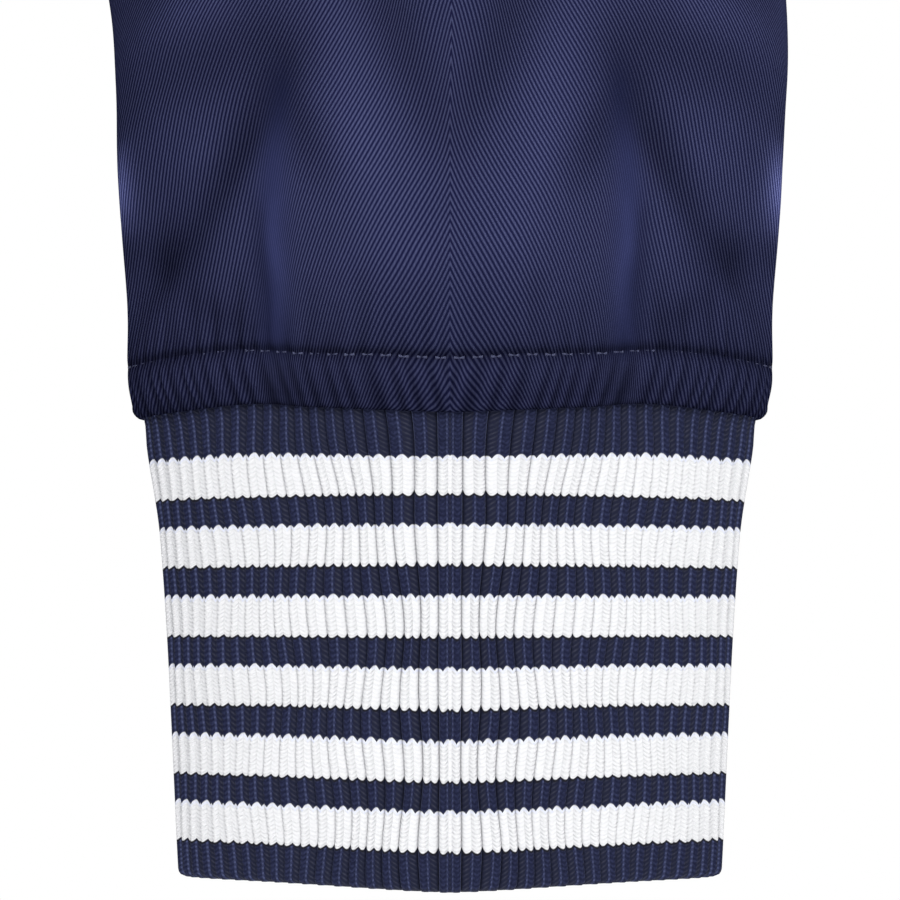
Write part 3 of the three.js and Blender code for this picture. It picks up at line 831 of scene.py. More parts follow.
class Paint:
    """A material's node tree, written as Python expressions."""

    def __init__(self, name: str) -> None:
        """Starts an empty material.

        Args:
            name: The material's name.
        """
        self.material = bpy.data.materials.new(name)
        self.material.use_nodes = True
        self.tree = self.material.node_tree
        self.tree.nodes.clear()

    def node(self, kind: str, settings: dict[str, Any], sockets: dict[Any, Any], out: Any = 0) -> Wire:
        """Adds a node.

        Args:
            kind: The node's type.
            settings: Its own settings, such as a Math node's operation.
            sockets: Values or wires for its inputs, by name or number.
            out: The name or number of the output to return.

        Returns:
            The wire from that output.
        """
        made = self.tree.nodes.new(kind)
        for key, value in settings.items():
            setattr(made, key, value)
        for key, value in sockets.items():
            if isinstance(value, Wire):
                self.tree.links.new(value.socket, made.inputs[key])
            else:
                made.inputs[key].default_value = value
        return Wire(self, made.outputs[out])

    def math(self, operation: str, *values: Any) -> Wire:
        """Adds a Math node."""
        return self.node("ShaderNodeMath", {"operation": operation}, dict(enumerate(values)))

    @staticmethod
    def colour(value: Any) -> Any:
        """Returns a colour of three numbers with its alpha, and a wire as it is."""
        return (*value, 1.0) if isinstance(value, tuple) else value

    def mix(self, factor: Any, low: Any, high: Any) -> Wire:
        """Mixes two colours.

        Args:
            factor: How much of the second colour shows.
            low: The first colour, as a wire or three numbers.
            high: The second.

        Returns:
            The mixed colour.
        """
        settings = {"data_type": "RGBA", "clamp_factor": True}
        # Sockets 6 and 7 are the two colours, and output 2 is the mixed one.
        sockets = {0: factor, 6: self.colour(low), 7: self.colour(high)}
        return self.node("ShaderNodeMix", settings, sockets, 2)

    def shade(self, colour: Wire, factor: Wire) -> Wire:
        """Makes a colour darker or lighter by a factor."""
        settings = {"operation": "SCALE"}
        return self.node("ShaderNodeVectorMath", settings, {0: colour, "Scale": factor})

    def flat_place(self, name: str) -> tuple[Wire, Wire]:
        """Returns a UV map's place across and place along.

        Args:
            name: The UV map's name.

        Returns:
            Both places, in the map's own units.
        """
        both = self.node("ShaderNodeUVMap", {"uv_map": name}, {})
        split = self.node("ShaderNodeSeparateXYZ", {}, {0: both}, 0)
        return split, Wire(self, split.socket.node.outputs[1])

    def mark(self, name: str) -> Wire:
        """Returns a number that the mesh keeps at each point."""
        return self.node("ShaderNodeAttribute", {"attribute_name": name}, {}, "Fac")

    def objects_place(self) -> Wire:
        """Returns the place on the object, in metres."""
        return self.node("ShaderNodeTexCoord", {}, {}, "Object")

    def noise(self, place: Wire, scale: float, detail: float = 2.0) -> Wire:
        """Returns an even noise about 0.5, with so many lumps to a metre and so many finer layers."""
        return self.node("ShaderNodeTexNoise", {}, {"Vector": place, "Scale": scale, "Detail": detail})

    def finish(
        self, colour: Any, roughness: Any, relief: Any, height: float, constants: dict[str, Any]
    ) -> bpy.types.Material:
        """Joins the expressions to the shader.

        Args:
            colour: The base colour.
            roughness: The roughness.
            relief: The height for the bump, or None.
            height: How high a relief of 1 stands, in metres.
            constants: Values set on the shader's own sockets.

        Returns:
            The finished material.
        """
        sockets = {"Base Color": self.colour(colour), "Roughness": roughness}
        if relief is not None:
            bump = {"Height": relief, "Distance": height, "Strength": 1.0}
            sockets["Normal"] = self.node("ShaderNodeBump", {}, bump)
        shader = self.node("ShaderNodeBsdfPrincipled", {}, {**sockets, **constants})
        output = self.tree.nodes.new("ShaderNodeOutputMaterial")
        self.tree.links.new(shader.socket, output.inputs["Surface"])
        return self.material


def painted_fold_shading(lift: Array, plain: Array) -> Array:
    """Returns the painted shading of folded satin: painted highlights where a fold faces up, painted shade
    in its hollow.

    Args:
        lift: How far the folds move each point of a grid.
        plain: The points without folds.

    Returns:
        The change of tone at each point.
    """
    least = 0.05
    limit = 0.34
    rise = np.sign(np.gradient(plain[..., 2], axis=0))
    up = np.linalg.norm(np.gradient(plain, axis=0), axis=-1) * rise
    aside = np.linalg.norm(np.gradient(plain, axis=1), axis=-1)
    steep = np.gradient(lift, axis=0) / np.where(np.abs(up) < least, least, up)
    sideways = np.gradient(lift, axis=1) / np.maximum(aside, least)
    # Painted highlight where the fold faces up and to one side, painted shade where it faces down and lies
    # low.
    tone = limit * np.tanh((0.03 * lift - 1.0 * steep - 0.5 * sideways) / limit)
    for _ in range(5):
        wide = np.pad(tone, 1, mode="edge")
        tone = (4 * tone + wide[:-2, 1:-1] + wide[2:, 1:-1] + wide[1:-1, :-2] + wide[1:-1, 2:]) / 8
    return tone


# ------------------------------------------------------------------ finishes


@dataclass(frozen=True)
class TwillFinish:
    """Steep satin twill of fine nylon: pale diagonal lines on navy, mirrored about the middle."""

    name: str = "twill"
    pitch: float = 0.57
    weft_pitch: float = 0.42
    slope: float = math.radians(58)
    light: tuple[float, float, float] = (0.0495, 0.0552, 0.120)
    dark: tuple[float, float, float] = (0.0078, 0.0090, 0.035)
    # The even colour of the painted sheen streaks.
    sheen_colour: tuple[float, float, float] = (0.020, 0.024, 0.074)

    def make(self) -> bpy.types.Material:
        """Builds the material. The cloth's UV map "Cloth" is in millimetres.

        Returns:
            The material.
        """
        p = Paint(self.name)
        across, along = p.flat_place("Cloth")
        place = p.objects_place()
        drift = p.noise(place, 70.0, 2.0) - 0.5
        straight = along * math.cos(self.slope) + abs(across) * math.sin(self.slope)
        counted = straight + drift * 0.55 + p.mark("sway")
        wave = (counted * (TAU / self.pitch)).sine() * 0.5 + 0.5
        line = ((wave - 0.5) * 1.5 + 0.44).held()
        yarn = p.noise(place, 1500.0, 2.0)
        # A streak of painted sheen, where the twill's lines fade into an even colour.
        shine = p.mark("sheen_streak").held()
        weft = (across * (TAU / self.weft_pitch)).sine() * 0.5 + 0.5
        broken = 1 - (1 - weft) * (yarn * 0.35)
        pattern = (line * broken).held()
        colour = p.mix(pattern, self.dark, self.light)
        colour = p.mix(shine * 0.75, colour, self.sheen_colour)
        # Random tone, times the painted shading that the piece carries: painted shade and highlights in its
        # folds, creases, gathers and stitches.
        tone = (0.88 + p.noise(place, 55.0, 3.0) * 0.24) * (1 + p.mark("painted_shading"))
        colour = p.shade(colour, tone)
        relief = wave * (1 - shine * 0.8) + yarn * 0.25
        rough = 0.42 + (yarn - 0.5) * 0.16 - shine * 0.08
        return p.finish(colour, rough, relief, 0.00010, {"Specular IOR Level": 0.0})


@dataclass(frozen=True)
class RibFinish:
    """Knitted rib: a raised wale of plain stitches beside a sunken one of purl, with or without stripes.

    The UV map "Knit" counts pairs of wales across and stripe repeats down from the first stripe.
    """

    name: str = "rib"
    striped: bool = False
    start: float = PAIR_START
    sunken: float = SUNKEN_SHARE
    repeats: int = 6
    courses: float = 15.0
    scallop: float = 0.055
    line_height: float = 0.036
    knit: tuple[float, float, float] = (0.0215, 0.0262, 0.066)
    knit_deep: tuple[float, float, float] = (0.0056, 0.0074, 0.026)
    # The sunken wale's colour, darker than the raised one's as painted shade.
    purl: tuple[float, float, float] = (0.0100, 0.0120, 0.0290)
    dash: tuple[float, float, float] = (0.038, 0.041, 0.066)
    pale: tuple[float, float, float] = (0.060, 0.072, 0.150)
    white: tuple[float, float, float] = (0.71, 0.71, 0.72)
    # Grey for the stitches in the white stripes, and for the painted shadow lines beside their furrows.
    grey: tuple[float, float, float] = (0.47, 0.475, 0.49)
    bluish: tuple[float, float, float] = (0.64, 0.67, 0.80)
    # Painted shadow in the furrows, under the white stripes' lower edges and at the cuff's top by the seam.
    shadow_black: tuple[float, float, float] = (0.0085, 0.0085, 0.0120)

    def make(self) -> bpy.types.Material:
        """Builds the material.

        Returns:
            The material.
        """
        p = Paint(self.name)
        across, down = p.flat_place("Knit")
        place = p.objects_place()
        t = (abs(across) + (1.0 - self.start)).fraction()
        raised = t.above(self.sunken)
        in_purl = t * (1 / self.sunken) - 0.5
        in_knit = (t - self.sunken) * (1 / (1 - self.sunken)) - 0.5
        s = in_purl + raised * (in_knit - in_purl)
        bow = 1 - (s * math.pi).cosine()
        peak = abs((s * math.pi).sine())
        yarn = p.noise(place, 2600.0, 2.0)
        fuzz = p.noise(place, 900.0, 2.0)
        loose = (yarn - 0.5) * 0.012

        # Loops of the raised wale and leaning stitches of the sunken one.
        course = down * self.courses + (fuzz - 0.5) * 0.4
        loop = (course + bow * 0.9).fraction()
        loop_light = 1 - abs(loop - 0.5) * 2
        lean = (course + s * 1.25).fraction()
        rope = (1 - abs(lean - 0.5) * 3.2).held() * (1 - abs(s) * 2.1).held()
        rope = rope * (fuzz * 2.4 - 0.35).held()
        specks = (yarn * 2.6 - 0.8).held()
        lit = (loop_light * (0.20 + specks * 0.9) + specks * 0.2).held()
        knit = p.mix(lit, self.knit_deep, self.knit)
        # The sunken wale in painted shade, with lighter leaning stitches.
        purl = p.mix(rope, self.purl, self.dash)
        navy = p.mix(t.above(self.sunken - 0.07), purl, knit)
        beads = ((course * TAU).sine() * 0.5 + 0.5).power(1.5)
        inner_line = (0.035 - abs(t - self.sunken - 0.040)).edge(0.03) * (0.25 + beads * 0.75)
        outer_line = (t - 0.945).edge(0.03) * (0.8 + beads * 0.2)
        navy = p.mix((inner_line + outer_line).held(), navy, self.pale)
        # Painted shadow along each furrow.
        furrow = (0.022 - abs((t + 0.5).fraction() - 0.5)).edge(0.02)
        navy = p.mix(furrow * 0.5, navy, self.shadow_black)
        colour = navy
        relief_white = 0.0
        if self.striped:
            by_furrow = (1 - (0.5 - abs(t - 0.5)) * (1 / 0.21)).held()
            g = down + peak * self.scallop * (1.15 - by_furrow * 0.5) + loose
            b = down + bow * self.scallop * (0.85 + by_furrow * 0.9) + loose
            soft = 0.014
            from_top = (0.375 - abs((g + 0.125).fraction() - 0.5)).edge(soft)
            to_end = (0.375 - abs((b + 0.275).fraction() - 0.5)).edge(soft)
            within = (down + 0.3).edge(0.01) * (self.repeats - 0.15 - down).edge(0.01)
            white_part = from_top * to_end * within
            first = (0.5 * self.line_height - abs((g + 0.5).fraction() - 0.5 - 0.03)).edge(0.02)
            stitch = (1 - abs((course + bow * 0.5).fraction() - 0.5) * 2).power(3.0)
            tics = stitch * (peak * 0.45 + 0.35) * (fuzz * 1.6 - 0.1).held()
            white = p.mix((tics * 0.65).held(), self.white, self.grey)
            white = p.mix(first * 0.75, white, self.bluish)
            # Painted shadow lines in the white, along each furrow and at the edge of the raised wale.
            wide_furrow = (0.050 - abs((t + 0.5).fraction() - 0.5)).edge(0.05)
            thin_line = (0.028 - abs(t - self.sunken)).edge(0.04)
            white = p.mix((wide_furrow * 0.50 + thin_line * 0.18).held(), white, self.grey)
            # Painted shadow under each white stripe's lower edge, and painted shade at the cuff's top by the
            # seam.
            half_line = 0.5 * self.line_height
            under = (half_line - abs(b.fraction() - WHITE_SHARE - half_line)).edge(0.012)
            shade = (-0.765 - down).edge(0.05)
            navy = p.mix((under * within * 0.9 + shade * 0.6).held(), navy, self.shadow_black)
            colour = p.mix(white_part, navy, white)
            relief_white = white_part
        relief = loop_light * (raised * 0.6 + 0.4) + rope * 0.5 + yarn * 0.7 + relief_white * 0.3
        rough = 0.80 + (yarn - 0.5) * 0.2
        constants = {
            "Specular IOR Level": 0.10,
            "Sheen Weight": 0.03,
            "Sheen Roughness": 0.5,
            "Sheen Tint": (0.80, 0.84, 1.0, 1.0),
        }
        return p.finish(colour, rough, relief, 0.00010, constants)


@dataclass(frozen=True)
class WovenFinish:
    """Plain woven tape, with a fine herringbone."""

    name: str = "tape"
    colour: tuple[float, float, float] = (0.010, 0.012, 0.040)
    pale: tuple[float, float, float] = (0.024, 0.027, 0.075)

    def make(self) -> bpy.types.Material:
        """Builds the material. The UV map "Cloth" is in millimetres.

        Returns:
            The material.
        """
        p = Paint(self.name)
        across, along = p.flat_place("Cloth")
        zigzag = abs((across * (1 / 3.2)).fraction() - 0.5) * 3.2
        wave = ((along + zigzag) * (TAU / 0.62)).sine() * 0.5 + 0.5
        yarn = p.noise(p.objects_place(), 1800.0, 2.0)
        colour = p.mix(wave * (0.6 + yarn * 0.5), self.colour, self.pale)
        relief = wave + yarn * 0.4
        return p.finish(colour, 0.68 + (yarn - 0.5) * 0.2, relief, 0.00012, {"Specular IOR Level": 0.3})


@dataclass(frozen=True)
class ThreadFinish:
    """Twisted sewing thread."""

    name: str = "thread"
    colour: tuple[float, float, float] = (0.070, 0.078, 0.150)
    deep: tuple[float, float, float] = (0.026, 0.030, 0.072)

    def make(self) -> bpy.types.Material:
        """Builds the material. The UV map "Thread" runs along each stitch, in millimetres.

        Returns:
            The material.
        """
        p = Paint(self.name)
        along, around = p.flat_place("Thread")
        twist = ((along * 3.4 + around) * TAU).sine() * 0.5 + 0.5
        fuzz = p.noise(p.objects_place(), 5200.0, 2.0)
        colour = p.mix(twist * 0.7 + fuzz * 0.3, self.deep, self.colour)
        relief = twist + fuzz * 0.6
        return p.finish(colour, 0.55 + (fuzz - 0.5) * 0.2, relief, 0.00006, {"Specular IOR Level": 0.35})


@dataclass(frozen=True)
class MouldedFinish:
    """Moulded acetal zip teeth, a little worn where they meet."""

    name: str = "zip_teeth"
    colour: tuple[float, float, float] = (0.012, 0.014, 0.044)
    worn: tuple[float, float, float] = (0.050, 0.055, 0.110)

    def make(self) -> bpy.types.Material:
        """Builds the material.

        Returns:
            The material.
        """
        p = Paint(self.name)
        grain = p.noise(p.objects_place(), 1400.0, 3.0)
        rubbed = (grain - 0.62).edge(0.12)
        colour = p.mix(rubbed * 0.5, self.colour, self.worn)
        return p.finish(colour, 0.34 + grain * 0.16, grain, 0.00003, {"Specular IOR Level": 0.5})


@dataclass(frozen=True)
class MetalFinish:
    """Dark enamelled metal, a little rubbed on its faces."""

    name: str = "zip_metal"
    enamel: tuple[float, float, float] = (0.028, 0.031, 0.048)
    bare: tuple[float, float, float] = (0.085, 0.087, 0.110)

    def make(self) -> bpy.types.Material:
        """Builds the material.

        Returns:
            The material.
        """
        p = Paint(self.name)
        place = p.objects_place()
        broad = p.noise(place, 260.0, 4.0)
        fine = p.noise(place, 3000.0, 3.0)
        worn = ((broad - 0.56) + (fine - 0.5) * 0.10).edge(0.30)
        colour = p.mix(worn * 0.55, self.enamel, self.bare)
        rough = 0.30 + fine * 0.14 + worn * 0.06
        constants = {"Metallic": 0.9, "Coat Weight": 0.25, "Coat Roughness": 0.2}
        return p.finish(colour, rough, broad * 0.4 + fine * 0.3, 0.00004, constants)


@dataclass(frozen=True)
class FloorFinish:
    """A pale studio floor with a painted glow, grey near its middle and white further out."""

    name: str = "floor"
    colour: tuple[float, float, float] = (0.86, 0.86, 0.865)

    def make(self) -> bpy.types.Material:
        """Builds the material.

        Returns:
            The material.
        """
        p = Paint(self.name)
        speck = p.noise(p.objects_place(), 30.0, 3.0)
        colour = p.mix(speck * 0.15, self.colour, (0.80, 0.80, 0.81))
        reach = p.node("ShaderNodeVectorMath", {"operation": "LENGTH"}, {0: p.objects_place()}, "Value")
        far = (reach * 0.8 - 1.2).held()
        # Painted glow: the floor shines of itself, grey near the middle and white far out, where it meets
        # the white surround.
        glow = {
            "Specular IOR Level": 0.2,
            "Emission Color": p.mix(far, (0.32, 0.32, 0.33), (1.0, 1.0, 1.0)),
            "Emission Strength": 1.0,
        }
        return p.finish(colour, 0.85, None, 0.0, glow)


class Cloth(Enum):
    """The ways that a sheet is held in place."""

    GATHERED = "gathered"
    HUNG = "hung"
    STRETCHED = "stretched"


@dataclass
class Finishes:
    """Every material of the jacket."""

    twill: bpy.types.Material
    rib: bpy.types.Material
    striped_rib: bpy.types.Material
    tape: bpy.types.Material
    thread: bpy.types.Material
    teeth: bpy.types.Material
    metal: bpy.types.Material

    @staticmethod
    def make() -> "Finishes":
        """Builds all of them.

        Returns:
            The finished materials.
        """
        return Finishes(
            TwillFinish().make(),
            RibFinish("rib").make(),
            RibFinish("striped_rib", striped=True).make(),
            WovenFinish().make(),
            ThreadFinish().make(),
            MouldedFinish().make(),
            MetalFinish().make(),
        )


def dress(
    piece: bpy.types.Object, finish: bpy.types.Material, slot: str, body: str, *stands_for: str
) -> None:
    """Gives a piece its finish, ties it to the frame and reports it.

    Args:
        piece: The piece.
        finish: Its material.
        slot: A material slot's name. It is not used.
        body: The body it rides on.
        stands_for: The nodes that it replaces.
    """
    piece.data.materials.clear()
    piece.data.materials.append(finish)
    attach(piece, body)
    if stands_for:
        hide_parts(*stands_for)
    LOG.info("%s: %d faces on %s", piece.name, len(piece.data.polygons), body)


def declare(piece: bpy.types.Object, points: Array, looped: bool) -> None:
    """Logs a sheet of cloth, with the flat size that its pattern piece was cut to and its area.

    Args:
        piece: The piece.
        points: The outer face's points, before any fine relief.
        looped: Whether it is a tube.
    """
    flat = flat_places(points, looped)
    width = float((flat[:, -1, 0] - flat[:, 0, 0]).max()) * MM
    closed = looped_round(points) if looped else points
    rises = np.linalg.norm(np.diff(closed, axis=0), axis=-1).sum(axis=0)
    length = float(rises.max()) * MM
    area = min(area_of(points, looped), width * length)
    LOG.info("%s: cut %.0f x %.0f mm, %.4f m2", piece.name, width / MM, length / MM, area)


# ------------------------------------------------------------------ sleeves and cuffs

# The sleeve's larger folds: angle round the arm in degrees and height, from one end to the other.
ARM_FOLDS = (
    (54, -553, 14, -580, -2.6, 9), (126, -553, 166, -580, -2.6, 9), (70, -528, 90, -560, -1.6, 8),
    (110, -528, 90, -560, -1.6, 8), (232, -540, 262, -578, -3.0, 10), (308, -548, 280, -572, -2.6, 9),
    (40, -395, 88, -440, -4.5, 13), (30, -440, 70, -470, -4.0, 11), (315, -450, 268, -492, -3.5, 12),
    (50, -270, 112, -335, -4.5, 14), (305, -265, 250, -330, -4.5, 14),
)
# Finer creases at the sleeve's end: distance from the middle and height, at the front and at the back.
FRONT_CREASES = creases_of((
    (13.5, -534, 0.5, -564, -0.7, 3.8), (0, -536, 0, -548, 0.4, 4.0), (19, -538, 9, -576, 1.5, 6.5),
    (30, -540, 46, -545.5, 1.8, 5.0), (22, -549, 47, -551.5, -1.3, 4.5), (40, -560, 38, -566, 1.0, 5.0),
    (25, -553, 38.0, -573, -1.6, 3.8), (25.5, -554.5, 18.5, -567, -1.0, 3.4),
    (42, -577, 47, -582, -1.2, 4.0), (25.2, -570, 24.6, -589, 0.34, 1.5, 0.5),
    (27.8, -573, 27.6, -590, -0.50, 1.4, 0.4), (28.6, -575, 28.2, -590, 0.35, 0.9),
    (4, -583, 4.3, -591.7, -0.5, 1.5), (8.3, -586, 8.2, -591.7, -0.45, 1.3),
    (12.6, -582, 12.2, -591.7, -0.55, 1.5), (16.2, -585.5, 16.4, -591.7, -0.4, 1.2),
    (19.8, -584, 19.6, -591.7, -0.5, 1.3), (31, -582, 31.4, -591.5, -0.6, 1.4),
    (34.8, -585, 34.6, -591.7, -0.5, 1.2), (38.5, -583, 38.9, -591.7, -0.5, 1.4),
    (42, -586, 42, -591.7, -0.5, 1.2),
))
BACK_CREASES = creases_of((
    (17, -534, 3, -560, -1.4, 4.6), (26, -538, 12, -571, 1.3, 6.0), (36, -541, 47, -549, 1.5, 5.0),
    (20, -552, 42, -560, -1.6, 4.6), (30, -561, 46, -583, -2.2, 4.2), (14, -566, 22, -584, 0.9, 3.0),
    (6, -570, 3, -589, -0.7, 1.8), (10.5, -580, 11, -591.7, -0.5, 1.4),
    (18, -584, 17.5, -591.7, -0.45, 1.3), (24, -579, 25, -591.7, -0.6, 1.5),
    (31, -585, 30.6, -591.7, -0.4, 1.2), (37, -582, 37.6, -591.7, -0.5, 1.4),
    (43, -586, 43, -591.7, -0.45, 1.2),
))
# Painted shade (below 0) and painted highlights on the front of the sleeve's end, in the same places as the
# creases, with painted reflections along both its sides.
FRONT_TONES = creases_of((
    (51.5, -528, 51.0, -549, 0.30, 5.0), (12.3, -540, 0.8, -563, -0.20, 3.4),
    (26.5, -554, 37.0, -572, -0.34, 3.2), (26.5, -555, 18.5, -567, -0.20, 3.0),
    (47.0, -575, 39.0, -578, -0.60, 4.0), (24.9, -571, 24.3, -586, 0.15, 1.2, 0.5),
    (27.7, -571, 27.5, -588, -0.26, 1.5), (37.0, -584, 30.0, -589, -0.28, 2.4),
    (50.0, -560, 50.5, -570, 1.40, 2.2),
))
# How dark the painted shade lies at each height of the sleeve's end, deepest from the stitches down to its
# lower edge.
SHADE_BY_HEIGHT = Table(
    "z tone",
    [
        (-530, -0.12), (-550, -0.08), (-562, 0.0), (-576, 0.0), (-584, -0.16), (-589, -0.28),
        (-592, -0.42), (-594.6, -0.40), (-597, -0.46), (-600.5, -0.85),
    ],
)
# Softer folds further up the arm: degrees round the arm and height.
UPPER_FOLDS = (
    (150, -300, 205, -330, -2.4, 12), (60, -352, 98, -372, 1.6, 10), (120, -385, 172, -412, -2.2, 10),
    (20, -415, 66, -424, 1.5, 9), (330, -395, 290, -428, -2.6, 11), (344, -432, 300, -446, 1.6, 9),
    (80, -488, 130, -512, -2.0, 9), (196, -452, 236, -486, -2.2, 11), (150, -470, 178, -520, 1.4, 10),
    (28, -500, 60, -520, -1.8, 9), (250, -505, 292, -522, -1.8, 9), (262, -350, 300, -372, -2.0, 11),
    (200, -370, 232, -396, 1.6, 12), (100, -250, 140, -285, -1.8, 10), (20, -300, 58, -318, -2.2, 10),
    (340, -300, 304, -322, -2.2, 10),
)


@dataclass(frozen=True)
class Leans:
    """How many degrees the twill leans at places beside the sleeve's middle, and where it lies free."""

    places: tuple[int, ...]
    table: Table
    free: float = 32.0


LEANS = Leans(
    (0, 5, 10, 15, 22, 27, 33, 44),
    Table("z a0 a5 a10 a15 a22 a27 a33 a44", [
        (-530, 30, 28, 30, 32, 33, 36, 38, 38), (-540, 26, 20, 28, 33, 35, 38, 39, 38),
        (-545, 24, 18, 27, 32, 34, 36, 37, 36), (-550, 20, 15, 28, 32, 33, 28, 27, 27),
        (-556, 16, 18, 29, 32, 30, 16, 16, 16), (-562, 19, 27, 31, 33, 29, 13, 13, 14),
        (-567, 25, 31, 33, 31, 25, 13, 13, 12), (-573, 28, 29, 30, 28, 25, 15, 13, 12),
        (-579, 28, 28, 29, 27, 24, 17, 14, 12), (-585, 27, 29, 28, 26, 20, 17, 15, 12),
        (-590, 26, 28, 26, 22, 17, 15, 13, 13), (-596, 28, 31, 31, 25, 18, 16, 16, 13),
    ]),
)


@dataclass
class Sleeve:
    """A sleeve, gathered under a row of stitches into its cuff."""

    finishes: Finishes
    left: bool
    # Columns round the upper sleeve, and how many there are to each below fine_z.
    columns: int = 240
    finer: int = 3
    coarser: int = 2
    fine_z: float = -530.0
    cap_rows: int = 34
    row_height: float = 3.0
    # Where the rows below fine_z grow finer, and how high they are in each of the three parts.
    row_changes: tuple[float, float] = (-560.0, -587.0)
    fine_row_heights: tuple[float, float, float] = (1.25, 0.85, 0.42)
    wall: float = 1.2
    stitch_z: float = -591.9
    rim_z: float = -600.1
    stitch_pitch: float = 2.7
    roll: float = 1.7
    girth_per_degree: float = 0.9
    # How strongly the creases' depth is painted, as shade in their troughs and highlight on their ridges.
    painted_shading: float = 0.16
    # The painted sheen streaks' distance from the middle, and their width.
    sheen_at: float = 25.2
    sheen_width: float = 2.7
    # The spacing of the small pleats below the stitches and of the tufts above, and how far the pleats lean.
    pleat_pitch: float = 2.9
    tuft_pitch: float = 3.3
    pleat_lean: float = 2.2
    # The row of small notches just above the rim.
    notch_pitch: float = 2.6
    notch_z: float = -598.7
    # Keeps every place across above zero, as the twill's finish needs.
    twill_shift: float = 60.0
    # The depth below which the twill is laid by height alone.
    even_depth: float = 585.0

    def __post_init__(self) -> None:
        """Spaces the columns evenly round the sleeve at its stitches."""
        total = self.columns * self.finer
        self.turns = even_columns(self.at_stitches, 0.75, np.arange(total) / total)
        loop = self.at_stitches(np.append(self.turns, self.turns[0] + 1))
        self.girth = float(length_along(loop)[-1])

    def at_stitches(self, turn: Array) -> Array:
        """Returns points round the sleeve at its stitches."""
        return ARM.ring(np.asarray(turn) * TAU, np.full(np.shape(turn), self.stitch_z))

    def plain(self, turn: Array, z: Array) -> tuple[Array, Array]:
        """Returns points below the cap and their normals, without folds.

        Args:
            turn: The place round the arm, in turns.
            z: The height.

        Returns:
            The points and the normals.
        """
        share = np.minimum(ARM.share_at(z), 1)
        turn, z, share = np.broadcast_arrays(turn, z, share)
        return ARM.ring(turn * TAU, z), normals_of(ARM.sleeve, turn, share, True)

    def folds(self, turn: Array, z: Array, share: Array) -> Array:
        """Returns how far the larger folds move the cloth.

        Args:
            turn: The place round the arm, in turns.
            z: The height.
            share: How far from the armhole (0) to the end of the cap (1).

        Returns:
            The distance outwards.
        """
        around = np.mod(turn, 1) * 360 * self.girth_per_degree
        whole = 360 * self.girth_per_degree
        lift = np.zeros(np.broadcast(around, z).shape)
        for from_deg, from_z, to_deg, to_z, depth, width in ARM_FOLDS + UPPER_FOLDS:
            start = (from_deg * self.girth_per_degree, from_z)
            kind = Fold if from_z > -500 else Crease
            crease = kind(start, (to_deg * self.girth_per_degree, to_z), depth, width)
            for shift in (-whole, 0, whole):
                lift = lift + crease.lift(around + shift, z)
        fade = np.minimum(np.clip((share - 0.1) * 8, 0, 1), np.clip((z - ARM.seam_z) / 12, 0, 1))
        return lift * fade

    def creases(self, turn: Array, z: Array, aside: Array) -> Array:
        """Returns how far the fine creases move the cloth. They fade towards both sides of the sleeve.

        Args:
            turn: The place round the arm, in turns.
            z: The height.
            aside: The distance from the sleeve's middle line, as seen from the front.

        Returns:
            The distance outwards.
        """
        forward = smoothstep(1 + 2 * np.sin(turn * TAU))
        front = total_lift(FRONT_CREASES, aside, z)
        lift = forward * front + (1 - forward) * total_lift(BACK_CREASES, aside, z)
        return lift * smoothstep((z + 600) / 8) * self.facing(turn)

    def leaning(self, around: Array, down: Array) -> Array:
        """Returns the place round the arm that the leaning pleats follow."""
        return around + self.pleat_lean * down * np.sign(around)

    def facing(self, turn: Array) -> Array:
        """Returns 1 at the front and back, falling to a little at both sides."""
        return 0.15 + 0.85 * smoothstep(np.abs(np.sin(turn * TAU)) / 0.55)

    def gathers(self, turn: Array, z: Array, around: Array, aside: Array) -> Array:
        """Returns how far the fine creases, the stitches and the puckers move the cloth.

        Args:
            turn: The place round the arm, in turns.
            z: The height.
            around: The distance round the arm from the middle of the front.
            aside: The distance from the sleeve's middle line, as seen from the front.

        Returns:
            The distance outwards.
        """
        lift = self.creases(turn, z, aside)
        over = z - self.stitch_z
        phase = around / self.stitch_pitch
        groove = (0.50 + 0.16 * np.cos(TAU * phase)) * bell(over, 0.9)
        scallop = 0.28 * np.abs(np.sin(np.pi * phase))
        scallop = scallop * np.exp(-np.maximum(over, 0) / 2) * smoothstep(over)
        down = np.clip((self.stitch_z - z) / (self.stitch_z - self.rim_z), 0, 1)
        arch = np.sin(np.pi * down)
        leaning = self.leaning(around, down)
        pucker = 0.17 * ripple(leaning, self.pleat_pitch) * arch
        pucker = pucker + 0.07 * ripple(leaning + 3, 1.7, 1.1) * arch
        puff = 0.40 * np.maximum(arch, 0) ** 0.8
        notches = 0.22 * (0.5 + 0.5 * np.cos(TAU * around / self.notch_pitch))
        notches = notches * bell(z - self.notch_z, 0.9)
        rim = 1.0 * np.clip((self.rim_z + self.roll - z) / self.roll, 0, 1) ** 2
        above = 0.18 * ripple(around, self.tuft_pitch) * np.exp(-np.maximum(over, 0) / 5)
        above = above * smoothstep(over / 2)
        seam = 0.5 * bell(self.girth / 2 - np.abs(around), 0.8)
        band = scallop + puff + pucker + above - groove - notches
        return lift + band * self.facing(turn) - rim - seam

    def wave(self, turn: Array, z: Array, aside: Array) -> Array:
        """Returns how far the seam's slow wave lifts the cloth.

        Args:
            turn: The place round the arm, in turns.
            z: The height.
            aside: The distance from the sleeve's middle line, as seen from the front.

        Returns:
            The distance upwards.
        """
        forward = smoothstep(1 + 2 * np.sin(turn * TAU))
        near = smoothstep((-572 - z) / 16)
        part = np.clip((self.stitch_z - z) / (self.stitch_z - ARM.seam_z), 0, 1)
        lift = lerp(SEAM_WAVE.at("stitches", aside), SEAM_WAVE.at("seam", aside), part)
        return lift * near * (0.3 + 0.7 * forward)

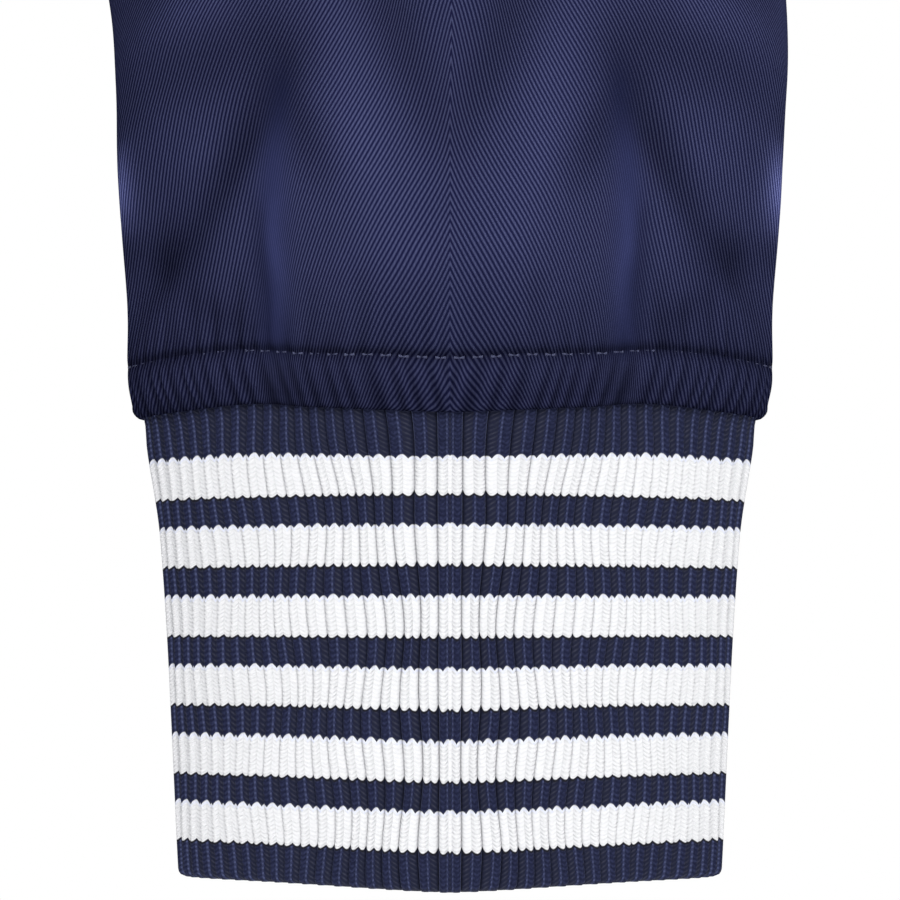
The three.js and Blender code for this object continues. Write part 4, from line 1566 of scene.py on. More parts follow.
    def surface(self, turn: Array, z: Array, around: Array) -> tuple[Array, Array, Array]:
        """Returns finished points below the cap, their normals, and the same points without folds.

        Args:
            turn: The place round the arm, in turns.
            z: The height before the seam's wave.
            around: The distance round the arm from the middle of the front.

        Returns:
            The finished points, their normals and the points without folds.
        """
        plain, normals = self.plain(turn, z)
        aside = np.abs(plain[..., 0] - ARM.sections.at("x", z))
        lift = self.folds(turn, z, np.ones_like(z)) + self.gathers(turn, z, around, aside)
        points = plain + normals * lift[..., None]
        points[..., 2] += self.wave(turn, z, aside)
        return points, normals, plain

    def distance_round(self, turn: Array) -> Array:
        """Returns the distance round the arm from the middle of the front, from turns 0.75 to 1.75.

        Args:
            turn: The place round the arm, in turns.

        Returns:
            The distance, below zero towards the body's side.
        """
        places = np.arange(len(self.turns) + 1) / len(self.turns)
        share = np.interp(turn, np.append(self.turns, self.turns[0] + 1), places)
        return (share - 0.5) * self.girth

    def upper(self) -> tuple[Array, Array, Array]:
        """Builds the cap and the arm down to fine_z.

        Returns:
            The finished points, the same without folds, and their normals.
        """
        turns = self.turns[:: self.finer][None, :]
        cap = (eased_range(self.cap_rows, 0.25) * ARM.cap_share)[:, None]
        plain = ARM.sleeve(turns, cap)
        normals = normals_of(ARM.sleeve, turns + 0 * cap, cap + 0 * turns, True)
        lift = self.folds(turns, plain[..., 2], cap + 0 * turns)
        roll = 0.9 * bell(cap / ARM.cap_share, 0.02)
        fullness = 0.5 * ripple(self.distance_round(turns), 11.0)
        fullness = fullness * bell(cap / ARM.cap_share - 0.14, 0.12)
        cap_points = plain + normals * (lift + fullness - roll)[..., None]
        steps = int((ARM.heights[0] - self.fine_z) / self.row_height)
        z = np.linspace(ARM.heights[0], self.fine_z, steps + 1)[1:-1, None]
        turns = turns + 0 * z
        z = z + 0 * turns
        arm_points, below, arm_plain = self.surface(turns, z, self.distance_round(turns))
        points = np.concatenate([cap_points, arm_points])
        return points, np.concatenate([plain, arm_plain]), np.concatenate([normals, below])

    def lower(self) -> tuple[Array, Array, Array, Array]:
        """Builds the sleeve's end, below fine_z.

        Returns:
            The finished points, the same without folds, their normals and the distance round the arm.
        """
        ends = [self.fine_z, *self.row_changes, self.rim_z]
        heights = [
            np.linspace(a, b, int(round((a - b) / step)) + 1)[:-1]
            for a, b, step in zip(ends, ends[1:], self.fine_row_heights)
        ]
        z = np.append(np.concatenate(heights), self.rim_z)[:, None]
        turns = self.turns[None, :] + 0 * z
        z = z + 0 * turns
        around = self.distance_round(turns)
        points, normals, plain = self.surface(turns, z, around)
        return points, plain, normals, around

    def build(self) -> bpy.types.Object:
        """Builds the sleeve and dresses it.

        Returns:
            The finished piece.
        """
        upper, upper_plain, upper_normals = self.upper()
        lower, lower_plain, normals, around = self.lower()
        skip = self.finer
        split = len(upper)
        plain = np.concatenate([upper_plain, lower_plain[:, ::skip]])
        flat = flat_places(plain, True, self.columns // 2, True)
        lower_flat = flat_places(lower_plain, True, self.columns * skip // 2, True)
        lower_flat[..., 1] += flat[split, 0, 1]
        joined = np.concatenate([upper, lower[:, ::skip]])
        self.lay(flat, plain, joined)
        self.lay(lower_flat, lower_plain, lower)
        joined_normals = np.concatenate([upper_normals, normals[:, ::skip]])
        thickness = self.wall + 1.3 * smoothstep((-585 - joined[..., 2]) / 8)
        rows = np.unique(np.append(np.arange(0, len(joined), 6), len(joined) - 1))
        back = (joined - joined_normals * thickness[..., None])[rows][:, :: self.coarser]
        inner = Grid(back, flat[rows][:, :: self.coarser], True)
        first = Grid(upper, flat[:split], True, self.marks(upper, upper_plain, self.turns[::skip], None))
        second = Grid(lower, lower_flat, True, self.marks(lower, lower_plain, self.turns, around))
        shell = Shell()
        shell.wall([first, second], inner)
        side = side_name(self.left)
        piece = shell.piece(f"sleeve_{side}_cloth", mirrored=not self.left)
        smooth(piece, 60)
        dress(piece, self.finishes.twill, "twill", "garment", f"sleeve_{side}")
        declare(piece, plain, True)
        return piece

    def lay(self, flat: Array, plain: Array, points: Array) -> None:
        """Mirrors the twill about the sleeve's middle and eases it round the gathered end.

        Args:
            flat: Each point's place on the flat cloth, which is changed.
            plain: The points without folds.
            points: The finished points.
        """
        closed = looped_round(plain)
        z = closed[..., 2]
        aside = np.abs(looped_round(points)[..., 0] - ARM.sections.at("x", z))
        forward = closed[..., 1] < ARM.sections.at("y", z)
        spread = np.where(forward, aside, 2 * ARM.sections.at("half_width", z) - aside)
        arc = np.abs(flat[..., 0])
        across = lerp(arc, spread, 0.90 * smoothstep((-420 - z) / 90))
        wider = 0.12 * 3 * np.log1p(np.exp((aside - 24) / 3)) + 0.40 * 5 * (1 - np.exp(-arc / 5))
        across = across + wider * smoothstep((-490 - z) / 40)
        flat[..., 0] = self.twill_shift + across - self.slip(spread, z)
        depths = -plain[:, 0, 2]
        along = flat[:, 0, 1]
        bent = np.interp(self.even_depth, depths, along) + self.even_depth - depths
        flat[..., 1] = np.where(depths > self.even_depth, bent, along)[:, None]

    @staticmethod
    def slip(aside: Array, z: Array) -> Array:
        """Returns how far the twill is drawn to the middle, so that its lines take the stated slopes.

        Args:
            aside: The distance from the sleeve's middle.
            z: The height.

        Returns:
            The distance.
        """
        heights = np.arange(-612.0, -469.0)
        places = np.array(LEANS.places, float)
        slopes = np.stack([LEANS.table.at(f"a{place}", heights) for place in LEANS.places])
        pull = math.tan(math.radians(LEANS.free)) - np.tan(np.radians(slopes))
        pull = pull * smoothstep((-490 - heights) / 40)
        total = np.cumsum(pull, axis=1) - 0.5 * pull
        start = lerp(-560.0, -548.0, smoothstep((places - 12) / 10))
        total = total - [[np.interp(begin, heights, row)] for begin, row in zip(start, total)]
        apart = np.arange(0.0, 90.0)
        near = np.searchsorted(places, apart, side="right") - 1
        near = np.clip(near, 0, len(places) - 2)
        part = np.clip((apart - places[near]) / (places[near + 1] - places[near]), 0, 1)[:, None]
        dense = lerp(total[near], total[near + 1], part)
        for _ in range(2):
            dense[1:-1] = (dense[:-2] + 2 * dense[1:-1] + dense[2:]) / 4
        column = np.clip(aside, 0, len(apart) - 1.001)
        row = np.clip(z - heights[0], 0, len(heights) - 1.001)
        i = column.astype(int)
        j = row.astype(int)
        low = lerp(dense[i, j], dense[i, j + 1], row - j)
        high = lerp(dense[i + 1, j], dense[i + 1, j + 1], row - j)
        return lerp(low, high, column - i)

    def marks(
        self, points: Array, plain: Array, turns: Array, around: Union[Array, None]
    ) -> dict[str, Array]:
        """Returns the marks that the twill's finish reads.

        Args:
            points: The finished points.
            plain: The same without folds.
            turns: The columns' places round the arm.
            around: The distance round the arm from the middle of the front, at the sleeve's end.

        Returns:
            Where a sheen streak is painted, how its lines sway, and its painted shade and highlights in the
            folds, creases, gathers and stitches.
        """
        z = points[..., 2]
        level = plain[..., 2]
        aside = np.abs(plain[..., 0] - ARM.sections.at("x", level))
        front = points[..., 1] < ARM.centre[1]
        reach = smoothstep((-548 - level) / 8) * smoothstep((level + 595) / 6)
        # The streak of painted sheen, on the front only.
        sheen_streak = bell(aside - self.sheen_at, self.sheen_width) * reach * front
        turns = turns[None, :] + 0 * z
        # Painted shade in the creases' troughs and painted highlights on their ridges, the front's painted
        # shade and highlights, painted shade deepening towards the sleeve's end, and the folds' painted
        # shading.
        tone = self.painted_shading * self.creases(turns, level, aside) * (level < -440)
        tone = tone + front * total_lift(FRONT_TONES, aside, level)
        tone = tone + SHADE_BY_HEIGHT.at("tone", level) * smoothstep((-480 - level) / 40)
        moved = points - plain
        outward = plain - plain.mean(axis=1, keepdims=True)
        lift = np.linalg.norm(moved, axis=-1) * np.sign((moved * outward).sum(-1))
        tone = tone + painted_fold_shading(lift, plain) * smoothstep((level + 530) / 50)
        sway = np.zeros_like(z)
        if around is not None:
            over = level - self.stitch_z
            down = np.clip(-over / (self.stitch_z - self.rim_z), 0, 1)
            within = (over < 0) * smoothstep(-over / 1.0)
            leaning = self.leaning(around, down)
            pleats = (0.5 - 0.5 * ripple(leaning, self.pleat_pitch)) ** 1.6
            tufts = (0.5 + 0.5 * ripple(around + 1.1, self.tuft_pitch)) ** 2
            sway = 0.07 * ripple(around, self.pleat_pitch) * smoothstep((-588 - level) / 4)
            # Painted shade in the hollows of the pleats below the stitches, deeper towards the seam, in the
            # stitches' groove, and in short teeth just above it.
            tone = tone + within * (0.06 - 0.75 * pleats * (0.30 + 0.70 * down))
            tone = tone - 0.45 * bell(over - 0.35, 0.85)
            tone = tone - (0.20 + 0.45 * tufts) * np.exp(-np.maximum(over, 0) / 1.8) * (over > 0)
        return {"sheen_streak": sheen_streak, "sway": sway, "painted_shading": np.exp(tone) - 1}


@dataclass
class Ribs:
    """The relief of knitted ribs, counted in pairs of wales from the middle of a piece."""

    start: float = PAIR_START
    sunken: float = SUNKEN_SHARE
    # Where the columns of points stand in each pair. They hold both edges of the sunken wale.
    coarse: tuple[float, ...] = (0.0, 0.08, 0.22, 0.39, 0.46, 0.50, 0.66, 0.84)
    fine: tuple[float, ...] = (
        0.0, 0.035, 0.09, 0.16, 0.25, 0.33, 0.39, 0.45, 0.50, 0.57, 0.67, 0.77, 0.87, 0.955,
    )

    def columns(self, pairs: int, steps: Sequence[float]) -> Array:
        """Returns the places of all columns between the middle and the given number of pairs.

        Args:
            pairs: How many pairs there are.
            steps: The columns' places in a pair.

        Returns:
            The places, from 0.
        """
        counts = np.arange(-1, pairs + 1)[:, None]
        places = (counts + self.start + np.array(steps)[None, :]).ravel()
        kept = places[(places > 1e-6) & (places < pairs - 1e-6)]
        return np.concatenate([[0.0], kept, [float(pairs)]])

    def relief(self, count: Array) -> Array:
        """Returns the height of the ribs, in millimetres.

        Args:
            count: The place, in pairs of wales from the middle.

        Returns:
            The height.
        """
        t = np.mod(np.abs(count) - self.start + 1e-9, 1)
        s = t / self.sunken
        low = -0.75 + 0.35 * s**2 + 0.18 * np.sin(np.pi * np.clip(s, 0, 1))
        s = np.clip((t - self.sunken) / (1 - self.sunken), 0, 1)
        high = -0.40 + 0.30 * s + 0.45 * np.sin(np.pi * s) ** 0.8
        furrow = 0.35 * bell(np.minimum(t, 1 - t), 0.045)
        return np.where(t < self.sunken, low, high) - furrow


RIBS = Ribs()


def rolled(from_edge: Array, radius: float) -> Array:
    """Returns how far a rounded edge draws in, by the distance from the edge."""
    d = np.clip(from_edge, 0, radius)
    return radius - np.sqrt(np.maximum(radius**2 - (radius - d) ** 2, 0))


@dataclass
class Cuff:
    """A striped rib cuff."""

    finishes: Finishes
    left: bool
    pairs: int = 37
    steps: tuple[float, ...] = RIBS.fine
    rows: int = 58
    wall: float = 2.6
    top_z: float = -598.2
    bottom_z: float = -668.7
    edge_radius: float = 1.3
    # Depths below the seam where each white stripe starts and ends, at the middle of a wale.
    stripes: tuple[tuple[float, float], ...] = (
        (8.44, 13.83), (18.46, 23.95), (28.71, 34.35), (39.19, 44.77), (49.55, 55.07), (59.55, 65.08),
    )
    # How much of the height is the rounded lower edge, which has more rows.
    edge_share: float = 3.2 / 70.5
    edge_rows: int = 8

    def sway(self, counts: Array, z: Array) -> Array:
        """Returns how far each rib wanders sideways, in millimetres, away from the middle.

        Args:
            counts: The place, in pairs of wales from the middle.
            z: The height.

        Returns:
            The distance sideways.
        """
        out = np.abs(counts)
        depth = z - ARM.seam_z
        drift = 0.34 * np.sin(depth / 3.6 + 0.42 * out) + 0.16 * np.sin(depth / 7.1 - 0.83 * out)
        drift = drift + 1.1 * bell(out - 3.4, 4.0) * smoothstep((depth + 24) / 17)
        return drift * np.sign(counts) * smoothstep(out / 2.5) * smoothstep((self.pairs - out) / 3)

    def rise(self, aside: Array, z: Array, forward: Array) -> Array:
        """Returns how far the seam's wave and the pull of the lower edge lift the cuff.

        Args:
            aside: The distance from the cuff's middle line, as seen from the front.
            z: The height.
            forward: 1 on the front of the cuff and 0 on its back.

        Returns:
            The distance upwards.
        """
        depth = ARM.seam_z - z
        upper = SEAM_WAVE.at("seam", aside) * smoothstep((z + 612) / 14)
        bow = np.sin(np.pi * np.clip(aside / 46, 0, 1) ** 1.2)
        lower = 0.58 * smoothstep((depth - 28) / 18) + 0.22 * smoothstep((depth - 59) / 9)
        return (upper + bow * lower) * (0.3 + 0.7 * forward)

    def surface(self, turn: Array, v: Array) -> Array:
        """Returns points of the cuff without its ribs, v going from the seam down."""
        return ARM.cuff_ring(np.asarray(turn) * TAU, lerp(self.top_z, self.bottom_z, v))

    def repeats(self, depth: Array) -> Array:
        """Turns a depth below the seam into stripe repeats.

        Args:
            depth: The depth below the seam.

        Returns:
            The count of repeats from the first stripe, below zero above it.
        """
        known = [x for pair in self.stripes for x in pair]
        counted = [k + part for k in range(len(self.stripes)) for part in (0, WHITE_SHARE)]
        slope = 1 / REPEAT_HEIGHT
        before = (depth - known[0]) * slope
        after = counted[-1] + (depth - known[-1]) * slope
        inside = np.interp(depth, known, counted)
        return np.where(depth < known[0], before, np.where(depth > known[-1], after, inside))

    def middle(self, turn: Array) -> Array:
        """Returns points round the cuff's middle."""
        return self.surface(turn, np.full(np.shape(turn), 0.4))

    def build(self) -> bpy.types.Object:
        """Builds the cuff and dresses it.

        Returns:
            The finished piece.
        """
        half = RIBS.columns(self.pairs, self.steps)
        counts = np.concatenate([-half[:0:-1], half[:-1]])
        closed = np.append(counts, half[-1])
        turns = even_columns(self.middle, 0.75, (counts + self.pairs) / (2 * self.pairs))[None, :]
        girth = float(length_along(self.middle(np.append(turns[0], turns[0, 0] + 1)))[-1])
        straight = 1 - self.edge_share
        down = np.linspace(0, 1, self.rows - self.edge_rows)[:-1] * straight
        v = np.concatenate([down, np.linspace(straight, 1, self.edge_rows + 1)])[:, None]
        turns = turns + self.sway(counts[None, :], lerp(self.top_z, self.bottom_z, v)) / girth
        plain = self.surface(turns, v)
        normals = normals_of(self.surface, turns + 0 * v, v + 0 * turns, True)
        z = plain[..., 2]
        wander = 0.05 * np.sin(z / 9.0 + counts * 1.7) * smoothstep((-600 - z) / 10)
        ribs = RIBS.relief(counts[None, :] + 0 * v) * (1 + wander)
        ribs = ribs * lerp(0.55, 1.0, smoothstep((ARM.seam_z - z) / 6))
        waist = -0.25 * bell(z + 601.0, 2.2)
        edge = rolled(z - self.bottom_z, self.edge_radius)
        points = plain + normals * (ribs + waist - edge)[..., None]
        aside = np.abs(plain[..., 0] - ARM.centre[0])
        forward = smoothstep(1 + 2 * np.sin(turns * TAU))
        lift = self.rise(aside, z, forward)
        points[..., 2] += lift
        depth = -(z - ARM.seam_z) + 0 * turns
        repeats = looped_round(self.repeats(depth))
        knit = np.stack([np.broadcast_to(closed, repeats.shape), repeats], axis=-1)
        outer = Grid(points, knit, True)
        step = len(self.steps) // 2
        rows = np.unique(np.append(np.arange(0, len(v), 4), len(v) - 1))
        back = (plain - normals * self.wall)[rows][:, ::step]
        back[..., 2] += lift[rows][:, ::step]
        inner = Grid(back, knit[rows][:, ::step], True)
        shell = Shell()
        shell.wall([outer], inner)
        side = side_name(self.left)
        piece = shell.piece(f"cuff_{side}_rib", mirrored=not self.left, flat_map="Knit")
        smooth(piece, 70)
        dress(piece, self.finishes.striped_rib, "striped_rib", "garment", f"cuff_{side}")
        declare(piece, plain, True)
        return piece


# ------------------------------------------------------------------ fronts and back

# The body's larger folds, by the distance from the centre line and the height.
FRONT_FOLDS = creases_of((
    (192, -262, 118, -345, -6.5, 20), (178, -180, 128, -245, -4.0, 18),
    (196, -470, 118, -520, -6.0, 18), (150, -595, 112, -540, -5.5, 15), (70, -600, 46, -520, -5.0, 16),
), Fold)
BACK_FOLDS = creases_of((
    (186, -235, 124, -330, -6.5, 20), (12, -455, 88, -492, -5.0, 18), (180, -500, 96, -548, -6.0, 18),
    (62, -600, 40, -545, -5.0, 16), (136, -602, 150, -560, -4.5, 14),
), Fold)
# Softer ones between them, and the gathers over the hem: place across, height reached, depth, lean.
FRONT_SOFT = creases_of((
    (180, -300, 96, -392, 2.6, 16), (160, -250, 96, -318, 2.2, 13), (66, -150, 30, -230, -2.0, 13),
    (112, -110, 70, -176, -2.4, 15), (178, -118, 146, -160, -2.2, 11), (60, -300, 20, -392, -2.2, 15),
    (150, -400, 64, -452, -2.8, 15), (190, -430, 130, -452, 1.8, 12), (94, -470, 34, -506, -2.2, 13),
    (182, -548, 140, -566, -2.0, 11), (32, -560, 62, -500, 1.8, 10), (96, -596, 84, -548, 1.8, 9),
    (128, -600, 136, -556, 1.6, 9),
), Fold)
BACK_SOFT = creases_of((
    (170, -170, 112, -228, -2.6, 14), (92, -74, 40, -120, -2.2, 15), (150, -270, 60, -372, 2.4, 16),
    (30, -180, 84, -250, -2.2, 15), (8, -300, 50, -392, -2.0, 15), (190, -390, 108, -430, -2.6, 15),
    (150, -450, 84, -470, 2.0, 12), (20, -520, 78, -532, 1.8, 11), (176, -560, 130, -574, -1.9, 10),
    (100, -602, 96, -560, 1.6, 9), (18, -600, 12, -556, 1.6, 9),
), Fold)
HEM_GATHERS = (
    (14, 24, -1.3, 2), (24, 40, -1.8, 5), (36, 18, -1.2, -1), (47, 30, -1.5, 4), (60, 21, -1.3, 1),
    (72, 44, -1.9, -5), (84, 17, -1.1, 2), (95, 31, -1.6, 3), (107, 23, -1.3, -2), (119, 38, -1.8, 5),
    (130, 19, -1.2, 1), (141, 29, -1.5, -3), (152, 22, -1.3, 2), (162, 34, -1.6, -4), (171, 18, -1.1, 1),
    (178, 26, -1.3, -2),
)


@dataclass
class Panel:
    """A front, or the back, with a rolled seam on every edge."""

    finishes: Finishes
    forward: bool
    left: bool = True
    columns: int = 100
    rows: int = 196
    wall: float = 1.2
    coarser: int = 4
    hem_phase: float = 0.0
    gather_width: float = 3.6
    # How strongly the large and the soft folds move the cloth.
    large_gain: float = 1.2
    soft_gain: float = 1.7
    # The puff just above the hem.
    puff_height: float = 1.6
    puff_reach: float = 7.0
    edge_roll: float = 1.5
    hem_roll: float = 1.8
    zip_roll: float = 0.9
    # Rows close to the hem and the neckline, so that the rolled edges are round.
    edge_rows: tuple[float, ...] = (0.0007, 0.0016, 0.9975, 0.9988)
    back_twill_shift: float = 400.0

    def form(self, u: Array, v: Array) -> Array:
        """Returns points of the panel without folds."""
        return BODY.panel(u, v, self.forward, BODY.zip_edge if self.forward else 0.0)

    def folds(self, points: Array, u: Array, v: Array) -> Array:
        """Returns how far the folds move the cloth.

        Args:
            points: Points of the panel without folds, on the wearer's left.
            u: How far each is from the centre line.
            v: How far each is from the hem.

        Returns:
            The distance outwards.
        """
        x, z = points[..., 0], points[..., 2]
        large = total_lift(FRONT_FOLDS if self.forward else BACK_FOLDS, x, z)
        soft = total_lift(FRONT_SOFT if self.forward else BACK_SOFT, x, z)
        seam = BODY.hem_seam_z
        for place, tall, depth, lean in HEM_GATHERS:
            start = place + self.hem_phase
            gather = Fold((start, seam - 2), (start + lean, seam + tall), depth, self.gather_width)
            soft = soft + gather.lift(x, z)
        inside = np.maximum(0, 1 - np.abs(2 * u - 1) ** 6)
        low = np.clip(v * 12, 0, 1)
        lift = self.large_gain * large * inside * low + self.soft_gain * soft * np.maximum(0, 1 - u**5)
        puff = self.puff_height * np.exp(-np.maximum(z - seam, 0) / self.puff_reach)
        puff = puff * smoothstep((z - seam) / 5)
        fine = 0.30 * ripple(x + self.hem_phase, 4.6) * np.exp(-np.maximum(z - seam, 0) / 9)
        if self.forward:
            away = x - BODY.zip_edge
            shallow = 0.55 * ripple(z, 23.0, 2.2) * np.exp(-away / 9) * smoothstep(away / 3)
            lift = lift + shallow
        cap = np.hypot(x - BODY.shoulder_point[0] + 8, z - BODY.shoulder_point[1])
        easing = 0.35 * ripple(z + x, 12.0) * bell(cap, 60) * smoothstep((u - 0.7) / 0.2)
        return lift + puff + fine * smoothstep(1.02 - u) + easing

    def surface(self, u: Array, v: Array) -> tuple[Array, Array, Array]:
        """Returns the panel's finished points, the plain ones and their normals.

        Args:
            u: How far from the centre line.
            v: How far from the hem.

        Returns:
            The finished points, the plain ones and their normals.
        """
        plain = self.form(u, v)
        inner_u = np.clip(u, 0.0011, 0.9989)
        normals = normals_of(self.form, inner_u, v, not self.forward)
        points = plain + normals * self.folds(plain, u, v)[..., None]
        from_side = np.linalg.norm(plain - self.form(np.ones_like(u), v), axis=-1)
        from_hem = np.linalg.norm(plain - self.form(u, np.zeros_like(v)), axis=-1)
        from_neck = np.linalg.norm(plain - self.form(u, np.ones_like(v)), axis=-1)
        roll = rolled(from_side, self.edge_roll) + rolled(from_hem, self.hem_roll)
        roll = roll + rolled(from_neck, self.edge_roll)
        if self.forward:
            roll = roll + rolled(np.abs(plain[..., 0] - BODY.zip_edge), self.zip_roll)
        stitched = self.stitch_groove(plain, from_hem, from_neck)
        points = points - normals * (np.minimum(roll, self.hem_roll) + stitched)[..., None]
        return points, plain, normals

    def stitch_groove(self, plain: Array, from_hem: Array, from_neck: Array) -> Array:
        """Returns how deep the rows of stitches draw the cloth in.

        Args:
            plain: The points without folds.
            from_hem: Their distances from the hem line.
            from_neck: Their distances from the neckline.

        Returns:
            The distance inwards.
        """
        groove = 0.55 * bell(from_hem - 6.0, 1.3) + 0.4 * bell(from_neck - 5.0, 1.3)
        if self.forward:
            groove = groove + 0.45 * bell(plain[..., 0] - BODY.zip_edge - 6.0, 1.3)
        return groove

    def build(self) -> bpy.types.Object:
        """Builds the panel and dresses it.

        Returns:
            The finished piece.
        """
        v = np.linspace(0, 1, self.rows + 1)
        v = np.sort(np.concatenate([v, self.edge_rows]))[:, None]
        if self.forward:
            half = eased_range(self.columns, 0.6)
            u = half[None, :]
            points, plain, normals = self.surface(u + 0 * v, v + 0 * u)
        else:
            part = np.linspace(0, 1, self.columns + 1)
            half = lerp(part, np.sin(part * np.pi / 2), 0.55)
            u = half[None, :]
            faces = self.surface(u + 0 * v, v + 0 * u)
            points, plain, normals = (np.concatenate([f[:, :0:-1] * MIRROR, f], axis=1) for f in faces)
        middle = 0 if self.forward else self.columns
        flat = flat_places(plain, False, middle)
        flat[..., 0] += BODY.zip_edge if self.forward else self.back_twill_shift
        whole = u if self.forward else np.concatenate([u[:, :0:-1], u], axis=1)
        outer = Grid(points, flat, False, self.marks(plain, whole, v))
        back = Grid(points - normals * self.wall, flat)
        inner = back.every(self.coarser, self.coarser)
        shell = Shell()
        shell.wall([outer], inner)
        name = f"front_{side_name(self.left)}" if self.forward else "back"
        piece = shell.piece(f"{name}_cloth", mirrored=self.forward and not self.left)
        smooth(piece, 60)
        dress(piece, self.finishes.twill, "twill", "garment", name)
        declare(piece, plain, False)
        return piece

    def marks(self, plain: Array, u: Array, v: Array) -> dict[str, Array]:
        """Returns the marks that the twill's finish reads.

        Args:
            plain: The points without folds.
            u: How far each is from the centre line.
            v: How far each is from the hem.

        Returns:
            The marks, by name.
        """
        nothing = np.zeros(plain.shape[:-1])
        sided = plain.copy()
        sided[..., 0] = np.abs(sided[..., 0])
        lift = self.folds(sided, u + nothing, v + nothing)
        # The folds' painted shading: painted highlights where they face up, painted shade in their hollows.
        return {"sheen_streak": nothing, "sway": nothing, "painted_shading": np.exp(painted_fold_shading(lift, plain)) - 1}


# ------------------------------------------------------------------ rib hem and collar


class Edge(Enum):
    """The body's edges that a rib band is sewn to, by the band's node."""

    HEM = "hem_band"
    NECK = "collar"


@dataclass
class Band:
    """A rib band that is open at the zip: the hem or the collar."""

    finishes: Finishes
    edge: Edge
    pair_width: float
    rows: int
    wall: float = 2.6
    edge_radius: float = 1.3
    inner_step: int = 4
    collar_top: tuple[tuple[float, float, float], ...] = ((9, -75, -20), (64, -4, 46), (0, 55, 44))

    def panel_end(self, s: Array, v: float) -> Array:
        """Returns points of the panels' hem line (v = 0) or neckline (v = 1).

        Args:
            s: The part of the way from the zip (0) to the middle of the back (1).
            v: 0 for the hem line or 1 for the neckline.

        Returns:
            The points.
        """
        front = BODY.panel(np.clip(2 * s, 0, 1), np.full_like(s, v), True, BODY.zip_edge)
        back = BODY.panel(np.clip(2 - 2 * s, 0, 1), np.full_like(s, v), False, 0.0)
        return np.where((s <= 0.5)[..., None], front, back)

    def hem_bottom(self, s: Array) -> Array:
        """Returns points of the hem's lower edge.

        Args:
            s: The part of the way from the zip (0) to the middle of the back (1).

        Returns:
            The points.
        """
        top = self.panel_end(s, 0.0)
        z = BODY.hem_bottom_z
        seam = BODY.hem_seam_z
        wide = BODY.torso.at("side", z) / BODY.torso.at("side", seam)
        front = BODY.torso.at("front", z) / BODY.torso.at("front", seam)
        back = BODY.torso.at("back", z) / BODY.torso.at("back", seam)
        x = BODY.zip_edge + (top[..., 0] - BODY.zip_edge) * wide
        return points_of(x, top[..., 1] * np.where(s <= 0.5, front, back), z)

    def collar_edge(self, s: Array) -> Array:
        """Returns points of the collar's upper edge.

        Args:
            s: The part of the way from the zip (0) to the middle of the back (1).

        Returns:
            The points.
        """
        front, side, back = (np.array(p, float) for p in self.collar_top)
        k = BODY.quarter_arc
        lead = front + np.array([(side[0] - front[0]) * k, 0, 0])
        trail = side - np.array([0, (side[1] - front[1]) * k, 0])
        first = cubic(front, lead, trail, side, np.clip(2 * s, 0, 1))
        lead = side + np.array([0, (back[1] - side[1]) * k, 0])
        trail = back + np.array([side[0] * k, 0, 0])
        second = cubic(side, lead, trail, back, np.clip(2 * s - 1, 0, 1))
        return np.where((s <= 0.5)[..., None], first, second)

    def surface(self, a: Array, v: Array) -> Array:
        """Returns points of the band, a going from the right zip edge (-1) round to the left (1).

        Args:
            a: The part of the way round, -1 to 1.
            v: How far from the lower edge (0) to the upper one (1).

        Returns:
            The points.
        """
        a, v = np.broadcast_arrays(np.asarray(a, float), np.asarray(v, float))
        s = 1 - np.minimum(np.abs(a), 1)
        if self.edge is Edge.HEM:
            low, high = self.hem_bottom(s), self.panel_end(s, 0.0) + np.array([0, 0, 1.0])
        else:
            low, high = self.panel_end(s, 1.0) - np.array([0, 0, 1.0]), self.collar_edge(s)
        points = lerp(low, high, v[..., None])
        return points * np.where(a < 0, -1.0, 1.0)[..., None] ** np.array([1, 0, 0])

    def build(self) -> bpy.types.Object:
        """Builds the band and dresses it.

        Returns:
            The finished piece.
        """
        dense = np.linspace(0, 1, 4001)
        curve = self.surface(dense, np.full_like(dense, 0.5))
        length = length_along(curve)
        pairs = int(round(length[-1] / self.pair_width))
        half = RIBS.columns(pairs, RIBS.coarse)
        places = np.interp(half / pairs * length[-1], length, dense)
        a = np.concatenate([-places[:0:-1], places])[None, :]
        counts = np.concatenate([-half[:0:-1], half])
        v = eased_range(self.rows, 0.55)[:, None]
        plain = self.surface(a, v)
        near = np.clip(a, -0.998, 0.998) + 0 * v
        normals = normals_of(self.surface, near, v + 0 * a, True)
        height = float(np.linalg.norm(curve[0] - self.surface(np.zeros(1), np.zeros(1))[0])) * 2
        hem = self.edge is Edge.HEM
        from_edge = (v if hem else 1 - v) * height
        from_seam = (1 - v if hem else v) * height
        edge = rolled(from_edge, self.edge_radius) + 1.0 * bell(from_seam, 1.2)
        wander = 0.06 * np.sin(plain[..., 2] / 11.0 + counts * 1.3)
        ribs = RIBS.relief(counts[None, :] + 0 * v) * (1 + wander)
        ribs = ribs * lerp(0.5, 1.0, smoothstep(from_seam / 6))
        end = rolled((1 - np.abs(a)) * length[-1], 0.9)
        belly = (0.9 if hem else 0.5) * np.sin(np.pi * v)
        soft = self.slack(plain, v)
        points = plain + normals * (ribs + belly + soft - np.maximum(edge, end))[..., None]
        knit = np.stack([counts[None, :] + 0 * v, (from_seam + 0 * a) / REPEAT_HEIGHT], axis=-1)
        inner = Grid(plain + normals * (soft + belly - self.wall)[..., None], knit)
        step = 2 if (len(counts) - 1) % self.inner_step else self.inner_step
        shell = Shell()
        shell.wall([Grid(points, knit)], inner.every(2, step))
        piece = shell.piece(f"{self.edge.value}_rib", flat_map="Knit")
        smooth(piece, 70)
        dress(piece, self.finishes.rib, "rib", "garment", self.edge.value)
        declare(piece, plain, False)
        return piece

